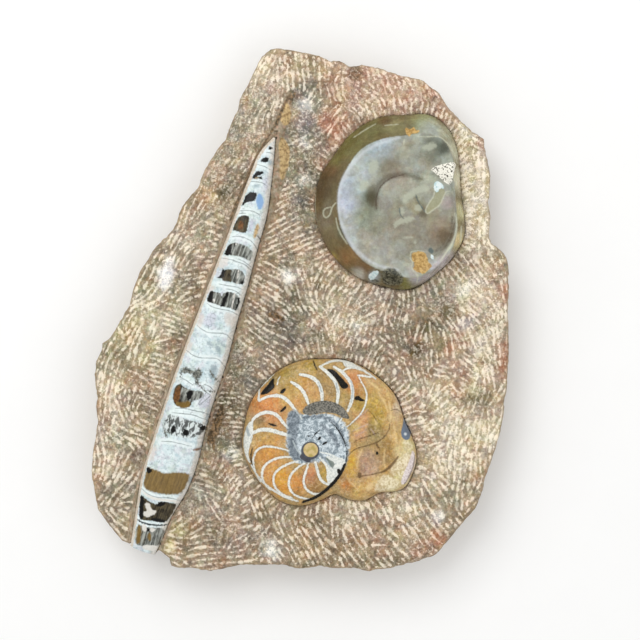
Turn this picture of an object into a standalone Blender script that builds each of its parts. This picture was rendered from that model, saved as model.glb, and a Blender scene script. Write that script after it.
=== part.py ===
"""Ammonite and orthoceras plate: a limestone slab with three polished fossils standing out of its face.

Metres, +Z up. The plate lies on its back with the worked face up. The origin is the middle of its flat
underside, and +Y points to its narrow end. Places on the face are (x, y) pairs in millimetres.
"""

import math

import bmesh
import bpy
import numpy as np
from mathutils import Vector, noise
from mathutils.geometry import delaunay_2d_cdt

MM = 0.001
GAP = 0.3  # between a fossil and the rock around it

# Heights above the flat underside, in millimetres
FACE_LEVEL = 29.0  # the chiselled ground between the fossils
POCKET_FLOOR = 22.0  # how deep the fossils sit in the rock
STRIP_RISE = 3.6  # the smooth flanks that carry the orthoceras above the ground
GROUND_WAVES = ((1.1, 31.0, 0.7), (0.6, 11.0, 4.2))  # height, size and layer of the ground's waves and lumps
STRIP_CREST = (0.55, 3.0)  # share of its rise that the strip has reached, and how far in
SHOULDER_DROP = 5.5  # how far the ground falls towards the long left edge
SHOULDER_WIDTH = 20.0
EDGE_DROP = 1.6  # the broken edge rounds off over its last millimetres
EDGE_WIDTH = 5.0
MOAT_DEPTH = 0.7  # the ground is worked a little deeper round each ammonite
MOAT_WIDTH = 9.0

# The broken side of the slab: share of the way up, and the least that it lies inside the outline there
SIDE_LEVELS = ((0.0, 6.0), (0.13, 4.0), (0.28, 2.9), (0.44, 2.0), (0.6, 1.2), (0.76, 0.5), (0.89, 0.0))
# Its large broken facets and small chips: depth, size, layer at the bottom and layers from there to the top
SIDE_BREAKS = ((4.0, 24.0, 0.0, 2.2), (1.6, 8.0, 9.0, 5.8))
RIM_INSET = 0.4
RIM_FOLLOW = 0.4  # share of the side's inset that the rim has too

# The mesh of the face and the sides
CELL = 5.2
CLEAR_CELLS = 0.45  # cells kept clear of other places beside the strip and the shell
RIM_MARGIN = 2.6
SIDE_STEP = 6.0

# Outline of the slab, clockwise from its top left corner
SLAB_OUTLINE = (
    (-19, 127), (-15, 130), (-11, 130.5), (0, 128.5), (10, 126.5), (15, 124), (20, 124), (25, 121),
    (31.5, 122), (40, 120), (50, 116.5), (59, 115), (62.5, 113.5), (69, 108), (73.5, 101), (79, 95),
    (86, 88.5), (92, 85), (92, 81.5), (93.5, 74.5), (95, 65.5), (94.5, 57), (93.5, 54), (95, 45.5),
    (94.5, 36.5), (95.5, 33.5), (101, 28.5), (103, 25.5), (104, 21), (104, 12), (103.5, 0), (104, -10.5),
    (104, -25.5), (103, -39.5), (101.5, -51.5), (99, -64), (95, -76.5), (91.5, -85.5), (91.5, -88.5),
    (87, -99.5), (80.5, -106.5), (74, -114.5), (68, -121.5), (62.5, -124), (47.5, -128), (35, -130.5),
    (27.5, -128.5), (16, -128.5), (10, -127.5), (0, -129), (-8.5, -127), (-19, -127), (-30, -127),
    (-44, -130), (-55, -128.5), (-61, -128.5), (-64, -127.5), (-65, -123.5), (-68.5, -120.5),
    (-70, -119), (-72.5, -122), (-76, -119.5), (-84, -116), (-88.5, -115), (-91, -112), (-96, -106),
    (-100.5, -99.5), (-102, -90.5), (-104, -80.5), (-103.5, -76.5), (-103, -70.5), (-101.5, -62),
    (-100.5, -55.5), (-101.5, -48), (-101, -44), (-103, -32), (-102, -24.5), (-100, -20.5), (-99, -16.5),
    (-96, -15), (-93.5, -11.5), (-90.5, -6), (-85, 3), (-83, 11.5), (-80, 19.5), (-76, 25.5),
    (-72.5, 31.5), (-67.5, 36.5), (-63, 41.5), (-60.5, 48.5), (-59, 52), (-54, 58), (-51.5, 60.5),
    (-47.5, 70.5), (-45, 74.5), (-40.5, 81.5), (-37.5, 84.5), (-35, 92.5), (-31, 100.5), (-30, 106),
    (-26.5, 112), (-24, 117), (-21, 123.5),
)
SHOULDER_LINE = (
    (-19, 127), (-30, 106), (-47.5, 70.5), (-63, 41.5), (-83, 11.5), (-99, -16.5), (-103, -32),
)

# Orthoceras: left and right edge of the shell from its tip to its cut end, and how far it stands up
ORTHOCERAS_SECTIONS = (
    ((-13.2, 85), (-12, 84.6), 0.8),
    ((-19, 78.5), (-12.5, 76.5), 2.1),
    ((-25, 65.5), (-14, 62), 3.6),
    ((-30, 52), (-16, 47.5), 4.6),
    ((-37, 33), (-21.5, 27.5), 5.4),
    ((-43.5, 16.5), (-26, 10.5), 6.0),
    ((-50.5, -2), (-31.5, -8.5), 6.5),
    ((-57, -19), (-36, -26), 6.9),
    ((-63, -35.5), (-41.5, -42.5), 7.1),
    ((-68.5, -51.5), (-46.5, -59), 7.2),
    ((-73.5, -67), (-50, -74), 7.2),
    ((-78, -82), (-55.5, -89), 7.0),
    ((-80.5, -97), (-63.5, -102.5), 6.2),
    ((-82.5, -110), (-68.5, -114.5), 5.6),
    ((-83.6, -116.6), (-71.6, -121), 5.0),
)
# Outer edge of the smooth strip of rock that carries it, up the left side, round the tip, down the right.
# It runs out past the slab's lower edge, as the shell does.
STRIP_OUTLINE = (
    (-91, -134), (-87.5, -116), (-84.5, -98), (-81.5, -83), (-76.5, -65.5), (-71, -48), (-66, -33.5),
    (-58.5, -14), (-51, 4.5), (-44.5, 22), (-37.5, 39.5), (-31.5, 56), (-23.5, 74.5), (-14.5, 90.5),
    (-4.2, 108), (-4.5, 93.5), (-7, 84.5), (-5, 77), (-6.5, 67), (-10.5, 52), (-15, 37), (-19, 25.5),
    (-23, 14.5), (-27, 0.5), (-30, -10.5), (-34, -26.5), (-39, -43), (-43.5, -58), (-47, -71.5),
    (-52, -88), (-59, -99.5), (-64, -108), (-66.5, -119), (-70, -136),
)

# Upper ammonite: the line where it meets the rock, the shoulder of its last whorl, the seam of the inner one
UPPER_CENTRE = (53, 48)
UPPER_OUTLINE = (
    (79, 71.5), (79.5, 62), (80.2, 55), (81.4, 46), (81.4, 37), (77.5, 28.5), (67.5, 18), (52.5, 10),
    (42, 11.5), (25, 18.5), (14, 30.5), (9, 41.5), (7.5, 53), (10, 65.5), (17, 76.5), (26, 87.5),
    (37.5, 94.5), (52.5, 96.5), (66.5, 95.5), (73.5, 89.5), (77.5, 80.5),
)
UPPER_SHOULDER = (
    (73.8, 76.5), (75, 66), (75.8, 56), (76.5, 46), (76.5, 38), (75, 31.5), (69, 23), (55.3, 15.7),
    (44.5, 18), (33.2, 22.6), (24.8, 31.5), (20.3, 41), (18.9, 51.5), (19.6, 60), (23.3, 68.4),
    (30.7, 78.3), (39.6, 82.7), (51.9, 84.7), (63.4, 85.4), (69.5, 82.8),
)
UPPER_SEAM = (
    (75.5, 54.5), (75.5, 43.5), (72.5, 34), (66.5, 27.5), (57, 25), (48.5, 28.5), (42.5, 38.5), (39, 47),
    (38, 53), (40, 59.5), (46, 64.5), (55, 66.5), (65, 66), (73, 61.5),
)
# Lower ammonite: the line where it meets the rock, and the hub that its whorls wind round
LOWER_CENTRE = (17, -64)
LOWER_OUTLINE = (
    (-28.5, -66.5), (-27.5, -58), (-24, -45.5), (-19, -38), (-11, -30.5), (0, -25.5), (11, -24.5),
    (24, -25.5), (36, -31.5), (47.5, -43), (51.5, -54), (57.5, -75.5), (56, -80.5), (51, -88.5),
    (40, -90.5), (31, -94.5), (25, -94), (17, -91.5), (10, -94.5), (2.5, -96.8), (-7.5, -95.5),
    (-17.5, -88), (-25, -78), (-27.8, -71.5),
)

# How the ammonites stand up: share of the way in from their outline, and height above the underside
UPPER_PROFILE = ((0.0, 29.6), (0.3, 34.2), (0.65, 38.0), (0.9, 40.2), (1.0, 41.0))
UPPER_WHORL = ((0.12, 41.2), (0.5, 40.2), (0.85, 38.3), (1.0, 37.6))
UPPER_HEART = ((0.85, 38.1), (0.5, 39.1))
UPPER_TOP = 39.4
LOWER_PROFILE = ((0.0, 31.2), (0.03, 33.2), (0.1, 34.8), (0.25, 36.0), (0.5, 37.2), (0.75, 37.8))
LOWER_TOP = 38.0

SPOKES = 54  # round each ammonite
ORTHOCERAS_STATIONS = 44
ORTHOCERAS_SIDES = 10
ORTHOCERAS_SINK = 0.6  # how far its edges lie below the top of the strip
ORTHOCERAS_ARCH = 0.8  # the power of a sine that its section follows, below 1 for fuller sides
OUTLINE_STATIONS = 30  # where only its outline is wanted
POCKET_RUN_OUT = 10.0  # the orthoceras reaches the slab's edge, so its pocket is open there
POCKET_TOP = FACE_LEVEL + 25.0


def material(name, colour, roughness):
    """A plain stone material."""
    made = bpy.data.materials.new(name)
    made.use_nodes = True
    shader = made.node_tree.nodes["Principled BSDF"]
    shader.inputs["Base Color"].default_value = (*colour, 1.0)
    shader.inputs["Roughness"].default_value = roughness
    shader.inputs["Metallic"].default_value = 0.0
    return made


def new_collection(name):
    """A collection of the scene."""
    made = bpy.data.collections.new(name)
    bpy.context.scene.collection.children.link(made)
    return made


def add_object(name, mesh, collection, finish=None):
    """An object for a mesh, with its material."""
    made = bpy.data.objects.new(name, mesh)
    collection.objects.link(made)
    if finish:
        mesh.materials.append(finish)
    return made


def distance_to(points, line, closed=False):
    """Distance of each point from a line through the given places."""
    ends = np.array(line, float)
    starts = ends if closed else ends[:-1]
    stops = np.roll(ends, -1, axis=0) if closed else ends[1:]
    best = np.full(len(points), np.inf)
    for start, stop in zip(starts, stops):
        along = stop - start
        share = np.clip((points - start) @ along / (along @ along), 0.0, 1.0)
        gap = points - start - share[:, None] * along
        best = np.minimum(best, np.hypot(gap[:, 0], gap[:, 1]))
    return best


def inside(points, outline):
    """Which points lie inside a closed outline."""
    x, y = points[:, 0], points[:, 1]
    found = np.zeros(len(points), bool)
    corners = np.array(outline, float)
    for (ax, ay), (bx, by) in zip(corners, np.roll(corners, -1, axis=0)):
        if ay == by:
            continue
        crosses = (ay > y) != (by > y)
        found ^= crosses & (x < (bx - ax) * (y - ay) / (by - ay) + ax)
    return found


def ease(share):
    """A smooth step from 0 to 1."""
    share = np.clip(share, 0.0, 1.0)
    return share * share * (3.0 - 2.0 * share)


def wobble(points, size, layer):
    """Smooth noise at each place, about -1 to 1, with features of a size in millimetres."""
    return np.array([noise.noise(Vector((x / size, y / size, layer))) for x, y in points])


def resample(outline, spacing):
    """Evenly spaced places along a closed outline."""
    corners = np.array(outline, float)
    corners = np.vstack([corners, corners[:1]])
    reach = np.concatenate([[0.0], np.cumsum(np.hypot(*np.diff(corners, axis=0).T))])
    places = np.linspace(0.0, reach[-1], max(3, round(reach[-1] / spacing)), endpoint=False)
    return [(np.interp(p, reach, corners[:, 0]), np.interp(p, reach, corners[:, 1])) for p in places]


def polar_curve(outline, centre):
    """A closed smooth curve round a centre, as a function from an angle to a radius."""
    spread = np.array(outline, float) - centre
    angles = np.arctan2(spread[:, 1], spread[:, 0])
    order = np.argsort(angles)
    angles, radii = angles[order], np.hypot(spread[order, 0], spread[order, 1])
    turn = 2 * math.pi
    count = len(angles)
    angles = np.concatenate([angles - turn, angles, angles + turn])
    radii = np.tile(radii, 3)
    slopes = np.gradient(radii, angles)

    def radius(angle):
        angle = (np.asarray(angle, float) + math.pi) % turn - math.pi
        right = np.clip(np.searchsorted(angles, angle), count, 2 * count)
        left = right - 1
        width = angles[right] - angles[left]
        t = (angle - angles[left]) / width
        return (
            radii[left] * (1 + 2 * t) * (1 - t) ** 2
            + slopes[left] * width * t * (1 - t) ** 2
            + radii[right] * t * t * (3 - 2 * t)
            + slopes[right] * width * t * t * (t - 1)
        )

    return radius


def orthoceras_edges(stations):
    """Left edge, right edge and rise of the orthoceras at evenly spaced stations."""
    rows = np.array([(*left, *right, rise) for left, right, rise in ORTHOCERAS_SECTIONS])
    middles = (rows[:, 0:2] + rows[:, 2:4]) / 2
    steps = np.hypot(*np.diff(middles, axis=0).T)
    reach = np.concatenate([[0.0], np.cumsum(steps)])
    places = np.linspace(0.0, reach[-1], stations)
    columns = np.array([np.interp(places, reach, column) for column in rows.T]).T
    return columns[:, 0:2], columns[:, 2:4], columns[:, 4]


def orthoceras_outline():
    """The orthoceras seen from above, down its left edge and back up its right one."""
    left, right, _ = orthoceras_edges(OUTLINE_STATIONS)
    return np.vstack([left, right[::-1]])


def orthoceras_pocket_outline():
    """The orthoceras seen from above, carried on past the slab's edge."""
    left, right, _ = orthoceras_edges(ORTHOCERAS_STATIONS)
    run = (left[-1] + right[-1] - left[-2] - right[-2]) / 2
    run *= POCKET_RUN_OUT / np.hypot(*run)
    return np.vstack([left, left[-1:] + run, right[-1:] + run, right[::-1]])


def face_height(points):
    """Height of the rock's face at each place, in millimetres."""
    height = FACE_LEVEL + sum(rise * wobble(points, size, layer) for rise, size, layer in GROUND_WAVES)
    slope = 1.0 - distance_to(points, SHOULDER_LINE) / SHOULDER_WIDTH
    height -= SHOULDER_DROP * np.clip(slope, 0.0, 1.0) ** 2
    height -= EDGE_DROP * np.clip(1.0 - distance_to(points, SLAB_OUTLINE, True) / EDGE_WIDTH, 0.0, 1.0) ** 2
    for outline in (UPPER_OUTLINE, LOWER_OUTLINE):
        height -= MOAT_DEPTH * ease(1.0 - distance_to(points, outline, True) / MOAT_WIDTH)
    shell = orthoceras_outline()
    from_strip = distance_to(points, STRIP_OUTLINE, True)
    from_shell = np.where(inside(points, shell), 0.0, distance_to(points, shell, True))
    climb = from_strip / (from_strip + from_shell + 1e-6)
    crest = STRIP_CREST[0] * np.clip(from_strip / STRIP_CREST[1], 0.0, 1.0)
    rise = STRIP_RISE * ease(np.maximum(climb, crest))
    return height + np.where(inside(points, STRIP_OUTLINE), rise, 0.0)


def drawn_in(outline, inset):
    """An outline drawn in towards the middle of the plate."""
    reach = np.hypot(outline[:, 0], outline[:, 1])
    return outline * (1.0 - inset / reach)[:, None]


def split_edges(outline, longest):
    """A closed outline with extra places on its long edges."""
    corners = np.array(outline, float)
    places = []
    for start, stop in zip(corners, np.roll(corners, -1, axis=0)):
        parts = max(1, math.ceil(np.hypot(*(stop - start)) / longest))
        places += [start + (stop - start) * k / parts for k in range(parts)]
    return np.array(places)


def side_insets(outline):
    """How far the broken side lies inside the outline at each level: nothing at its widest."""
    depths = []
    for share, least in SIDE_LEVELS:
        breaks = [
            depth * np.abs(wobble(outline, size, first + share * layers))
            for depth, size, first, layers in SIDE_BREAKS
        ]
        depths.append(least + sum(breaks))
    depths = np.array(depths)
    return depths - depths.min(axis=0)


def face_points(rim):
    """Places inside the rim for the face's mesh: a staggered grid, closer beside the orthoceras."""
    low, high = np.min(SLAB_OUTLINE, axis=0), np.max(SLAB_OUTLINE, axis=0)
    columns = np.arange(low[0], high[0], CELL)
    rows = np.arange(low[1], high[1], CELL * math.sqrt(0.75))
    grid = np.array([(x + (r % 2) * CELL / 2, y) for r, y in enumerate(rows) for x in columns])
    flank = np.array(resample(STRIP_OUTLINE, CELL))
    foot = np.array(resample(orthoceras_outline(), CELL))
    apart = np.minimum(distance_to(grid, STRIP_OUTLINE, True), distance_to(grid, orthoceras_outline(), True))
    grid = grid[apart > CELL * CLEAR_CELLS]
    hidden = np.zeros(len(grid), bool)
    for outline in (UPPER_OUTLINE, LOWER_OUTLINE, orthoceras_outline()):
        hidden |= inside(grid, outline) & (distance_to(grid, outline, True) > 2 * CELL)
    near = np.vstack([grid[~hidden], flank, foot])
    return near[inside(near, rim) & (distance_to(near, rim, True) > RIM_MARGIN)]


def bridge(bm, lower, upper):
    """Faces between two closed rings of vertices, the second above or inside the first."""
    count = len(lower)
    for i in range(count):
        j = (i + 1) % count
        bm.faces.new((lower[i], lower[j], upper[j], upper[i]))


def add_ring(bm, places, heights):
    """Vertices for one ring, from places and heights in millimetres."""
    heights = np.broadcast_to(heights, len(places))
    return [bm.verts.new((x * MM, y * MM, z * MM)) for (x, y), z in zip(places, heights)]


def finish_mesh(bm, name):
    """A mesh with its faces pointing out, made of triangles."""
    bmesh.ops.triangulate(bm, faces=bm.faces)
    bmesh.ops.recalc_face_normals(bm, faces=bm.faces)
    mesh = bpy.data.meshes.new(name)
    bm.to_mesh(mesh)
    bm.free()
    return mesh


def slab_mesh():
    """The slab: rough rings up its broken side, closed by a flat underside and the uneven face."""
    outline = split_edges(SLAB_OUTLINE[::-1], SIDE_STEP)
    bm = bmesh.new()
    insets = side_insets(outline)
    rim = drawn_in(outline, RIM_INSET + RIM_FOLLOW * insets[-1])
    rim_height = face_height(rim)
    rings = [
        add_ring(bm, drawn_in(outline, inset), share * rim_height)
        for (share, _), inset in zip(SIDE_LEVELS, insets)
    ]
    rings.append(add_ring(bm, rim, rim_height))
    for lower, upper in zip(rings, rings[1:]):
        bridge(bm, lower, upper)
    bm.faces.new(rings[0])
    inner = face_points(rim)
    inner_verts = add_ring(bm, inner, face_height(inner))
    verts = rings[-1] + inner_verts
    places = [Vector(place) for place in np.vstack([rim, inner])]
    filled = delaunay_2d_cdt(places, [], [list(range(len(rim)))], 1, 1e-6)
    for face in filled[2]:
        bm.faces.new([verts[filled[3][corner][0]] for corner in face])
    return finish_mesh(bm, "matrix_slab")


def widened(outline, gap):
    """A closed outline moved outwards by a small gap."""
    corners = np.array(outline, float)
    ahead = np.roll(corners, -1, axis=0) - np.roll(corners, 1, axis=0)
    normal = np.stack([ahead[:, 1], -ahead[:, 0]], axis=1)
    normal /= np.hypot(normal[:, 0], normal[:, 1])[:, None]
    area = np.sum(corners[:, 0] * np.roll(corners[:, 1], -1) - corners[:, 1] * np.roll(corners[:, 0], -1))
    return corners + normal * gap * (1.0 if area > 0 else -1.0)


def pocket(name, outline, collection):
    """A cutter for the hollow that a fossil sits in, from its floor to well above the face."""
    low, high = POCKET_FLOOR - GAP, POCKET_TOP
    curve = bpy.data.curves.new(name, "CURVE")
    curve.dimensions = "2D"
    curve.fill_mode = "BOTH"
    curve.extrude = (high - low) / 2 * MM
    places = widened(outline, GAP) * MM
    spline = curve.splines.new("POLY")
    spline.points.add(len(places) - 1)
    for point, (x, y) in zip(spline.points, places):
        point.co = (x, y, 0.0, 1.0)
    spline.use_cyclic_u = True
    shape = bpy.data.objects.new(name + "_curve", curve)
    shape.location.z = (high + low) / 2 * MM
    collection.objects.link(shape)
    bpy.context.view_layer.update()
    evaluated = shape.evaluated_get(bpy.context.evaluated_depsgraph_get())
    mesh = bpy.data.meshes.new_from_object(evaluated)
    bm = bmesh.new()
    bm.from_mesh(mesh)
    bmesh.ops.remove_doubles(bm, verts=bm.verts, dist=1e-6)
    bmesh.ops.recalc_face_normals(bm, faces=bm.faces)
    bm.to_mesh(mesh)
    bm.free()
    cutter = add_object(name, mesh, collection)
    cutter.matrix_world = shape.matrix_world.copy()
    cutter.hide_render = True
    cutter.display_type = "WIRE"
    bpy.data.objects.remove(shape)
    return cutter


def cut(target, cutter):
    """Take a cutter out of an object."""
    boolean = target.modifiers.new("cut_" + cutter.name, "BOOLEAN")
    boolean.operation = "DIFFERENCE"
    boolean.solver = "EXACT"
    boolean.object = cutter


def orthoceras_mesh():
    """The orthoceras: a straight tapering shell, flat below and arched above, section after section."""
    left, right, rise = orthoceras_edges(ORTHOCERAS_STATIONS)
    middles = (left + right) / 2
    foot = face_height(middles) - ORTHOCERAS_SINK
    bm = bmesh.new()
    sections = []
    arch = np.linspace(0.0, math.pi, ORTHOCERAS_SIDES + 1)
    for a, b, up, ground in zip(left, right, rise, foot):
        across = (1.0 - np.cos(arch)) / 2
        places = [a, *(a + (b - a) * share for share in across), b]
        heights = [POCKET_FLOOR, *(ground + up * np.sin(arch) ** ORTHOCERAS_ARCH), POCKET_FLOOR]
        sections.append(add_ring(bm, np.array(places), np.array(heights)))
    for first, second in zip(sections, sections[1:]):
        bridge(bm, first, second)
    bm.faces.new(sections[0])
    bm.faces.new(sections[-1])
    return finish_mesh(bm, "orthoceras")


def dome_mesh(name, centre, rings, top):
    """A fossil as rings about a centre: each ring is a pair of radius at each spoke and height."""
    bm = bmesh.new()
    spokes = np.linspace(-math.pi, math.pi, SPOKES, endpoint=False)
    aim = np.stack([np.cos(spokes), np.sin(spokes)], axis=1)
    loops = [add_ring(bm, centre + aim * radius[:, None], height) for radius, height in rings]
    for lower, upper in zip(loops, loops[1:]):
        bridge(bm, lower, upper)
    bm.faces.new(loops[0])
    tip = bm.verts.new((centre[0] * MM, centre[1] * MM, top * MM))
    for i in range(SPOKES):
        bm.faces.new((loops[-1][i], loops[-1][(i + 1) % SPOKES], tip))
    return finish_mesh(bm, name)


def upper_ammonite_mesh():
    """The polished ammonite: a steep rim, a shoulder, a whorl that dips to a seam, a low heart."""
    spokes = np.linspace(-math.pi, math.pi, SPOKES, endpoint=False)
    outline = polar_curve(UPPER_OUTLINE, UPPER_CENTRE)(spokes)
    shoulder = polar_curve(UPPER_SHOULDER, UPPER_CENTRE)(spokes)
    seam = polar_curve(UPPER_SEAM, UPPER_CENTRE)(spokes)
    rings = [(outline, POCKET_FLOOR)]
    rings += [(outline + (shoulder - outline) * share, height) for share, height in UPPER_PROFILE]
    rings += [(shoulder + (seam - shoulder) * share, height) for share, height in UPPER_WHORL]
    rings += [(seam * share, height) for share, height in UPPER_HEART]
    return dome_mesh("upper_ammonite", UPPER_CENTRE, rings, UPPER_TOP)


def lower_ammonite_mesh():
    """The cut ammonite: a short upright wall under a low polished dome."""
    spokes = np.linspace(-math.pi, math.pi, SPOKES, endpoint=False)
    outline = polar_curve(LOWER_OUTLINE, LOWER_CENTRE)(spokes)
    rings = [(outline, POCKET_FLOOR)]
    rings += [(outline * (1.0 - share), height) for share, height in LOWER_PROFILE]
    return dome_mesh("lower_ammonite", LOWER_CENTRE, rings, LOWER_TOP)


def spoke_outline(outline, centre):
    """An ammonite's outline at its spokes, seen from above."""
    spokes = np.linspace(-math.pi, math.pi, SPOKES, endpoint=False)
    radius = polar_curve(outline, centre)(spokes)
    return centre + np.stack([np.cos(spokes), np.sin(spokes)], axis=1) * radius[:, None]


def main():
    """Build the plate."""
    for old in list(bpy.data.objects):
        bpy.data.objects.remove(old)
    plate = new_collection("ammonite_orthoceras_plate")
    cutters = new_collection("cutters")
    limestone = material("limestone", (0.56, 0.45, 0.32), 0.85)
    banded = material("banded_shell", (0.55, 0.57, 0.54), 0.3)
    grey = material("grey_shell", (0.33, 0.34, 0.30), 0.25)
    amber = material("amber_shell", (0.56, 0.38, 0.16), 0.3)
    slab = add_object("matrix_slab", slab_mesh(), plate, limestone)
    add_object("orthoceras", orthoceras_mesh(), plate, banded)
    add_object("upper_ammonite", upper_ammonite_mesh(), plate, grey)
    add_object("lower_ammonite", lower_ammonite_mesh(), plate, amber)
    hollows = (
        ("orthoceras_pocket", orthoceras_pocket_outline()),
        ("upper_ammonite_pocket", spoke_outline(UPPER_OUTLINE, UPPER_CENTRE)),
        ("lower_ammonite_pocket", spoke_outline(LOWER_OUTLINE, LOWER_CENTRE)),
    )
    for name, outline in hollows:
        cut(slab, pocket(name, outline, cutters))


main()
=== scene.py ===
"""The looks of the ammonite and orthoceras plate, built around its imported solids.

Places on the face are (x, y) pairs in millimetres, as in the part's source, and meshes are in metres.
"""

import math
from collections import deque

import bmesh
import bpy
import numpy as np
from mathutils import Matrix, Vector, noise
from mathutils.geometry import delaunay_2d_cdt


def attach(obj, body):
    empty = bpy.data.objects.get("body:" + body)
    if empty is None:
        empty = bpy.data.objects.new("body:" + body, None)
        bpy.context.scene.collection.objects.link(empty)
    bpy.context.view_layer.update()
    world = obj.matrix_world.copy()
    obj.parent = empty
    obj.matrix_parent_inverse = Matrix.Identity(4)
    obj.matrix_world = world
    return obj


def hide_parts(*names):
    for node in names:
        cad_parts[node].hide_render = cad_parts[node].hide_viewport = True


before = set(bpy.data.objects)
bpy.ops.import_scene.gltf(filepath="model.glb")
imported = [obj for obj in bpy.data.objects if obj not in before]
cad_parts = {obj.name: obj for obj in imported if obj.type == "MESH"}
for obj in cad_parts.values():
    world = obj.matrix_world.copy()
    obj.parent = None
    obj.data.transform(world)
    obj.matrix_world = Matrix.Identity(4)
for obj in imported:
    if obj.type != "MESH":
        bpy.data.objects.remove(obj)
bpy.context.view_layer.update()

MM = 0.001
SEED = 11
TURN = 2 * math.pi

# Heights above the flat underside and the slow shapes of the face, as in the part's source
FACE_LEVEL = 29.0
POCKET_FLOOR = 22.0
STRIP_RISE = 3.6
GROUND_WAVES = ((1.1, 31.0, 0.7), (0.6, 11.0, 4.2))
STRIP_CREST = (0.55, 3.0)
SHOULDER_DROP = 5.5
SHOULDER_WIDTH = 20.0
EDGE_DROP = 1.6
EDGE_WIDTH = 5.0
MOAT_DEPTH = 0.7
MOAT_WIDTH = 9.0
SIDE_LEVELS = ((0.0, 6.0), (0.13, 4.0), (0.28, 2.9), (0.44, 2.0), (0.6, 1.2), (0.76, 0.5), (0.89, 0.0))
SIDE_BREAKS = ((4.0, 24.0, 0.0, 2.2), (1.6, 8.0, 9.0, 5.8))
RIM_INSET = 0.4
RIM_FOLLOW = 0.4

# Outline of the slab, clockwise from its top left corner
SLAB_OUTLINE = (
    (-19, 127), (-15, 130), (-11, 130.5), (0, 128.5), (10, 126.5), (15, 124), (20, 124), (25, 121),
    (31.5, 122), (40, 120), (50, 116.5), (59, 115), (62.5, 113.5), (69, 108), (73.5, 101), (79, 95),
    (86, 88.5), (92, 85), (92, 81.5), (93.5, 74.5), (95, 65.5), (94.5, 57), (93.5, 54), (95, 45.5),
    (94.5, 36.5), (95.5, 33.5), (101, 28.5), (103, 25.5), (104, 21), (104, 12), (103.5, 0), (104, -10.5),
    (104, -25.5), (103, -39.5), (101.5, -51.5), (99, -64), (95, -76.5), (91.5, -85.5), (91.5, -88.5),
    (87, -99.5), (80.5, -106.5), (74, -114.5), (68, -121.5), (62.5, -124), (47.5, -128), (35, -130.5),
    (27.5, -128.5), (16, -128.5), (10, -127.5), (0, -129), (-8.5, -127), (-19, -127), (-30, -127),
    (-44, -130), (-55, -128.5), (-61, -128.5), (-64, -127.5), (-65, -123.5), (-68.5, -120.5), (-70, -119),
    (-72.5, -122), (-76, -119.5), (-84, -116), (-88.5, -115), (-91, -112), (-96, -106), (-100.5, -99.5),
    (-102, -90.5), (-104, -80.5), (-103.5, -76.5), (-103, -70.5), (-101.5, -62), (-100.5, -55.5),
    (-101.5, -48), (-101, -44), (-103, -32), (-102, -24.5), (-100, -20.5), (-99, -16.5), (-96, -15),
    (-93.5, -11.5), (-90.5, -6), (-85, 3), (-83, 11.5), (-80, 19.5), (-76, 25.5), (-72.5, 31.5),
    (-67.5, 36.5), (-63, 41.5), (-60.5, 48.5), (-59, 52), (-54, 58), (-51.5, 60.5), (-47.5, 70.5),
    (-45, 74.5), (-40.5, 81.5), (-37.5, 84.5), (-35, 92.5), (-31, 100.5), (-30, 106), (-26.5, 112),
    (-24, 117), (-21, 123.5),
)
# The smooth rock beside the orthoceras, within the strip that carries it
POLISHED_OUTLINE = (
    (-89.5, -134), (-85.8, -116), (-83, -98), (-79.8, -83), (-75.2, -67), (-70.2, -52), (-64.8, -36),
    (-58.8, -19.5), (-52.3, -2.5), (-45.4, 16), (-39, 33), (-32.6, 51), (-27.4, 64), (-21.5, 77),
    (-16, 88), (-10, 99), (-5.5, 108), (-4.2, 107.5), (-3.6, 100), (-5.9, 91.5), (-8, 86), (-5, 78),
    (-5.6, 72), (-6.9, 66), (-9.6, 58), (-13.5, 48), (-19.9, 27.5), (-24.4, 10.5), (-29.8, -8.5),
    (-34.6, -26), (-40, -42.5), (-45, -58.5), (-48.7, -74), (-54.3, -89.5), (-62, -103), (-67, -115),
    (-69, -136),
)
SHOULDER_LINE = ((-19, 127), (-30, 106), (-47.5, 70.5), (-63, 41.5), (-83, 11.5), (-99, -16.5), (-103, -32))

# Orthoceras: left and right edge of the shell from its tip to its cut end, and how far it stands up
ORTHOCERAS_SECTIONS = (
    ((-13.2, 85), (-12, 84.6), 0.8), ((-19, 78.5), (-12.5, 76.5), 2.1), ((-25, 65.5), (-14, 62), 3.6),
    ((-30, 52), (-16, 47.5), 4.6), ((-37, 33), (-21.5, 27.5), 5.4), ((-43.5, 16.5), (-26, 10.5), 6.0),
    ((-50.5, -2), (-31.5, -8.5), 6.5), ((-57, -19), (-36, -26), 6.9), ((-63, -35.5), (-41.5, -42.5), 7.1),
    ((-68.5, -51.5), (-46.5, -59), 7.2), ((-73.5, -67), (-50, -74), 7.2), ((-78, -82), (-55.5, -89), 7.0),
    ((-80.5, -97), (-63.5, -102.5), 6.2), ((-82.5, -110), (-68.5, -114.5), 5.6),
    ((-83.6, -116.6), (-71.6, -121), 5.0),
)
STRIP_OUTLINE = (
    (-91, -134), (-87.5, -116), (-84.5, -98), (-81.5, -83), (-76.5, -65.5), (-71, -48), (-66, -33.5),
    (-58.5, -14), (-51, 4.5), (-44.5, 22), (-37.5, 39.5), (-31.5, 56), (-23.5, 74.5), (-14.5, 90.5),
    (-4.2, 108), (-4.5, 93.5), (-7, 84.5), (-5, 77), (-6.5, 67), (-10.5, 52), (-15, 37), (-19, 25.5),
    (-23, 14.5), (-27, 0.5), (-30, -10.5), (-34, -26.5), (-39, -43), (-43.5, -58), (-47, -71.5),
    (-52, -88), (-59, -99.5), (-64, -108), (-66.5, -119), (-70, -136),
)

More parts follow.
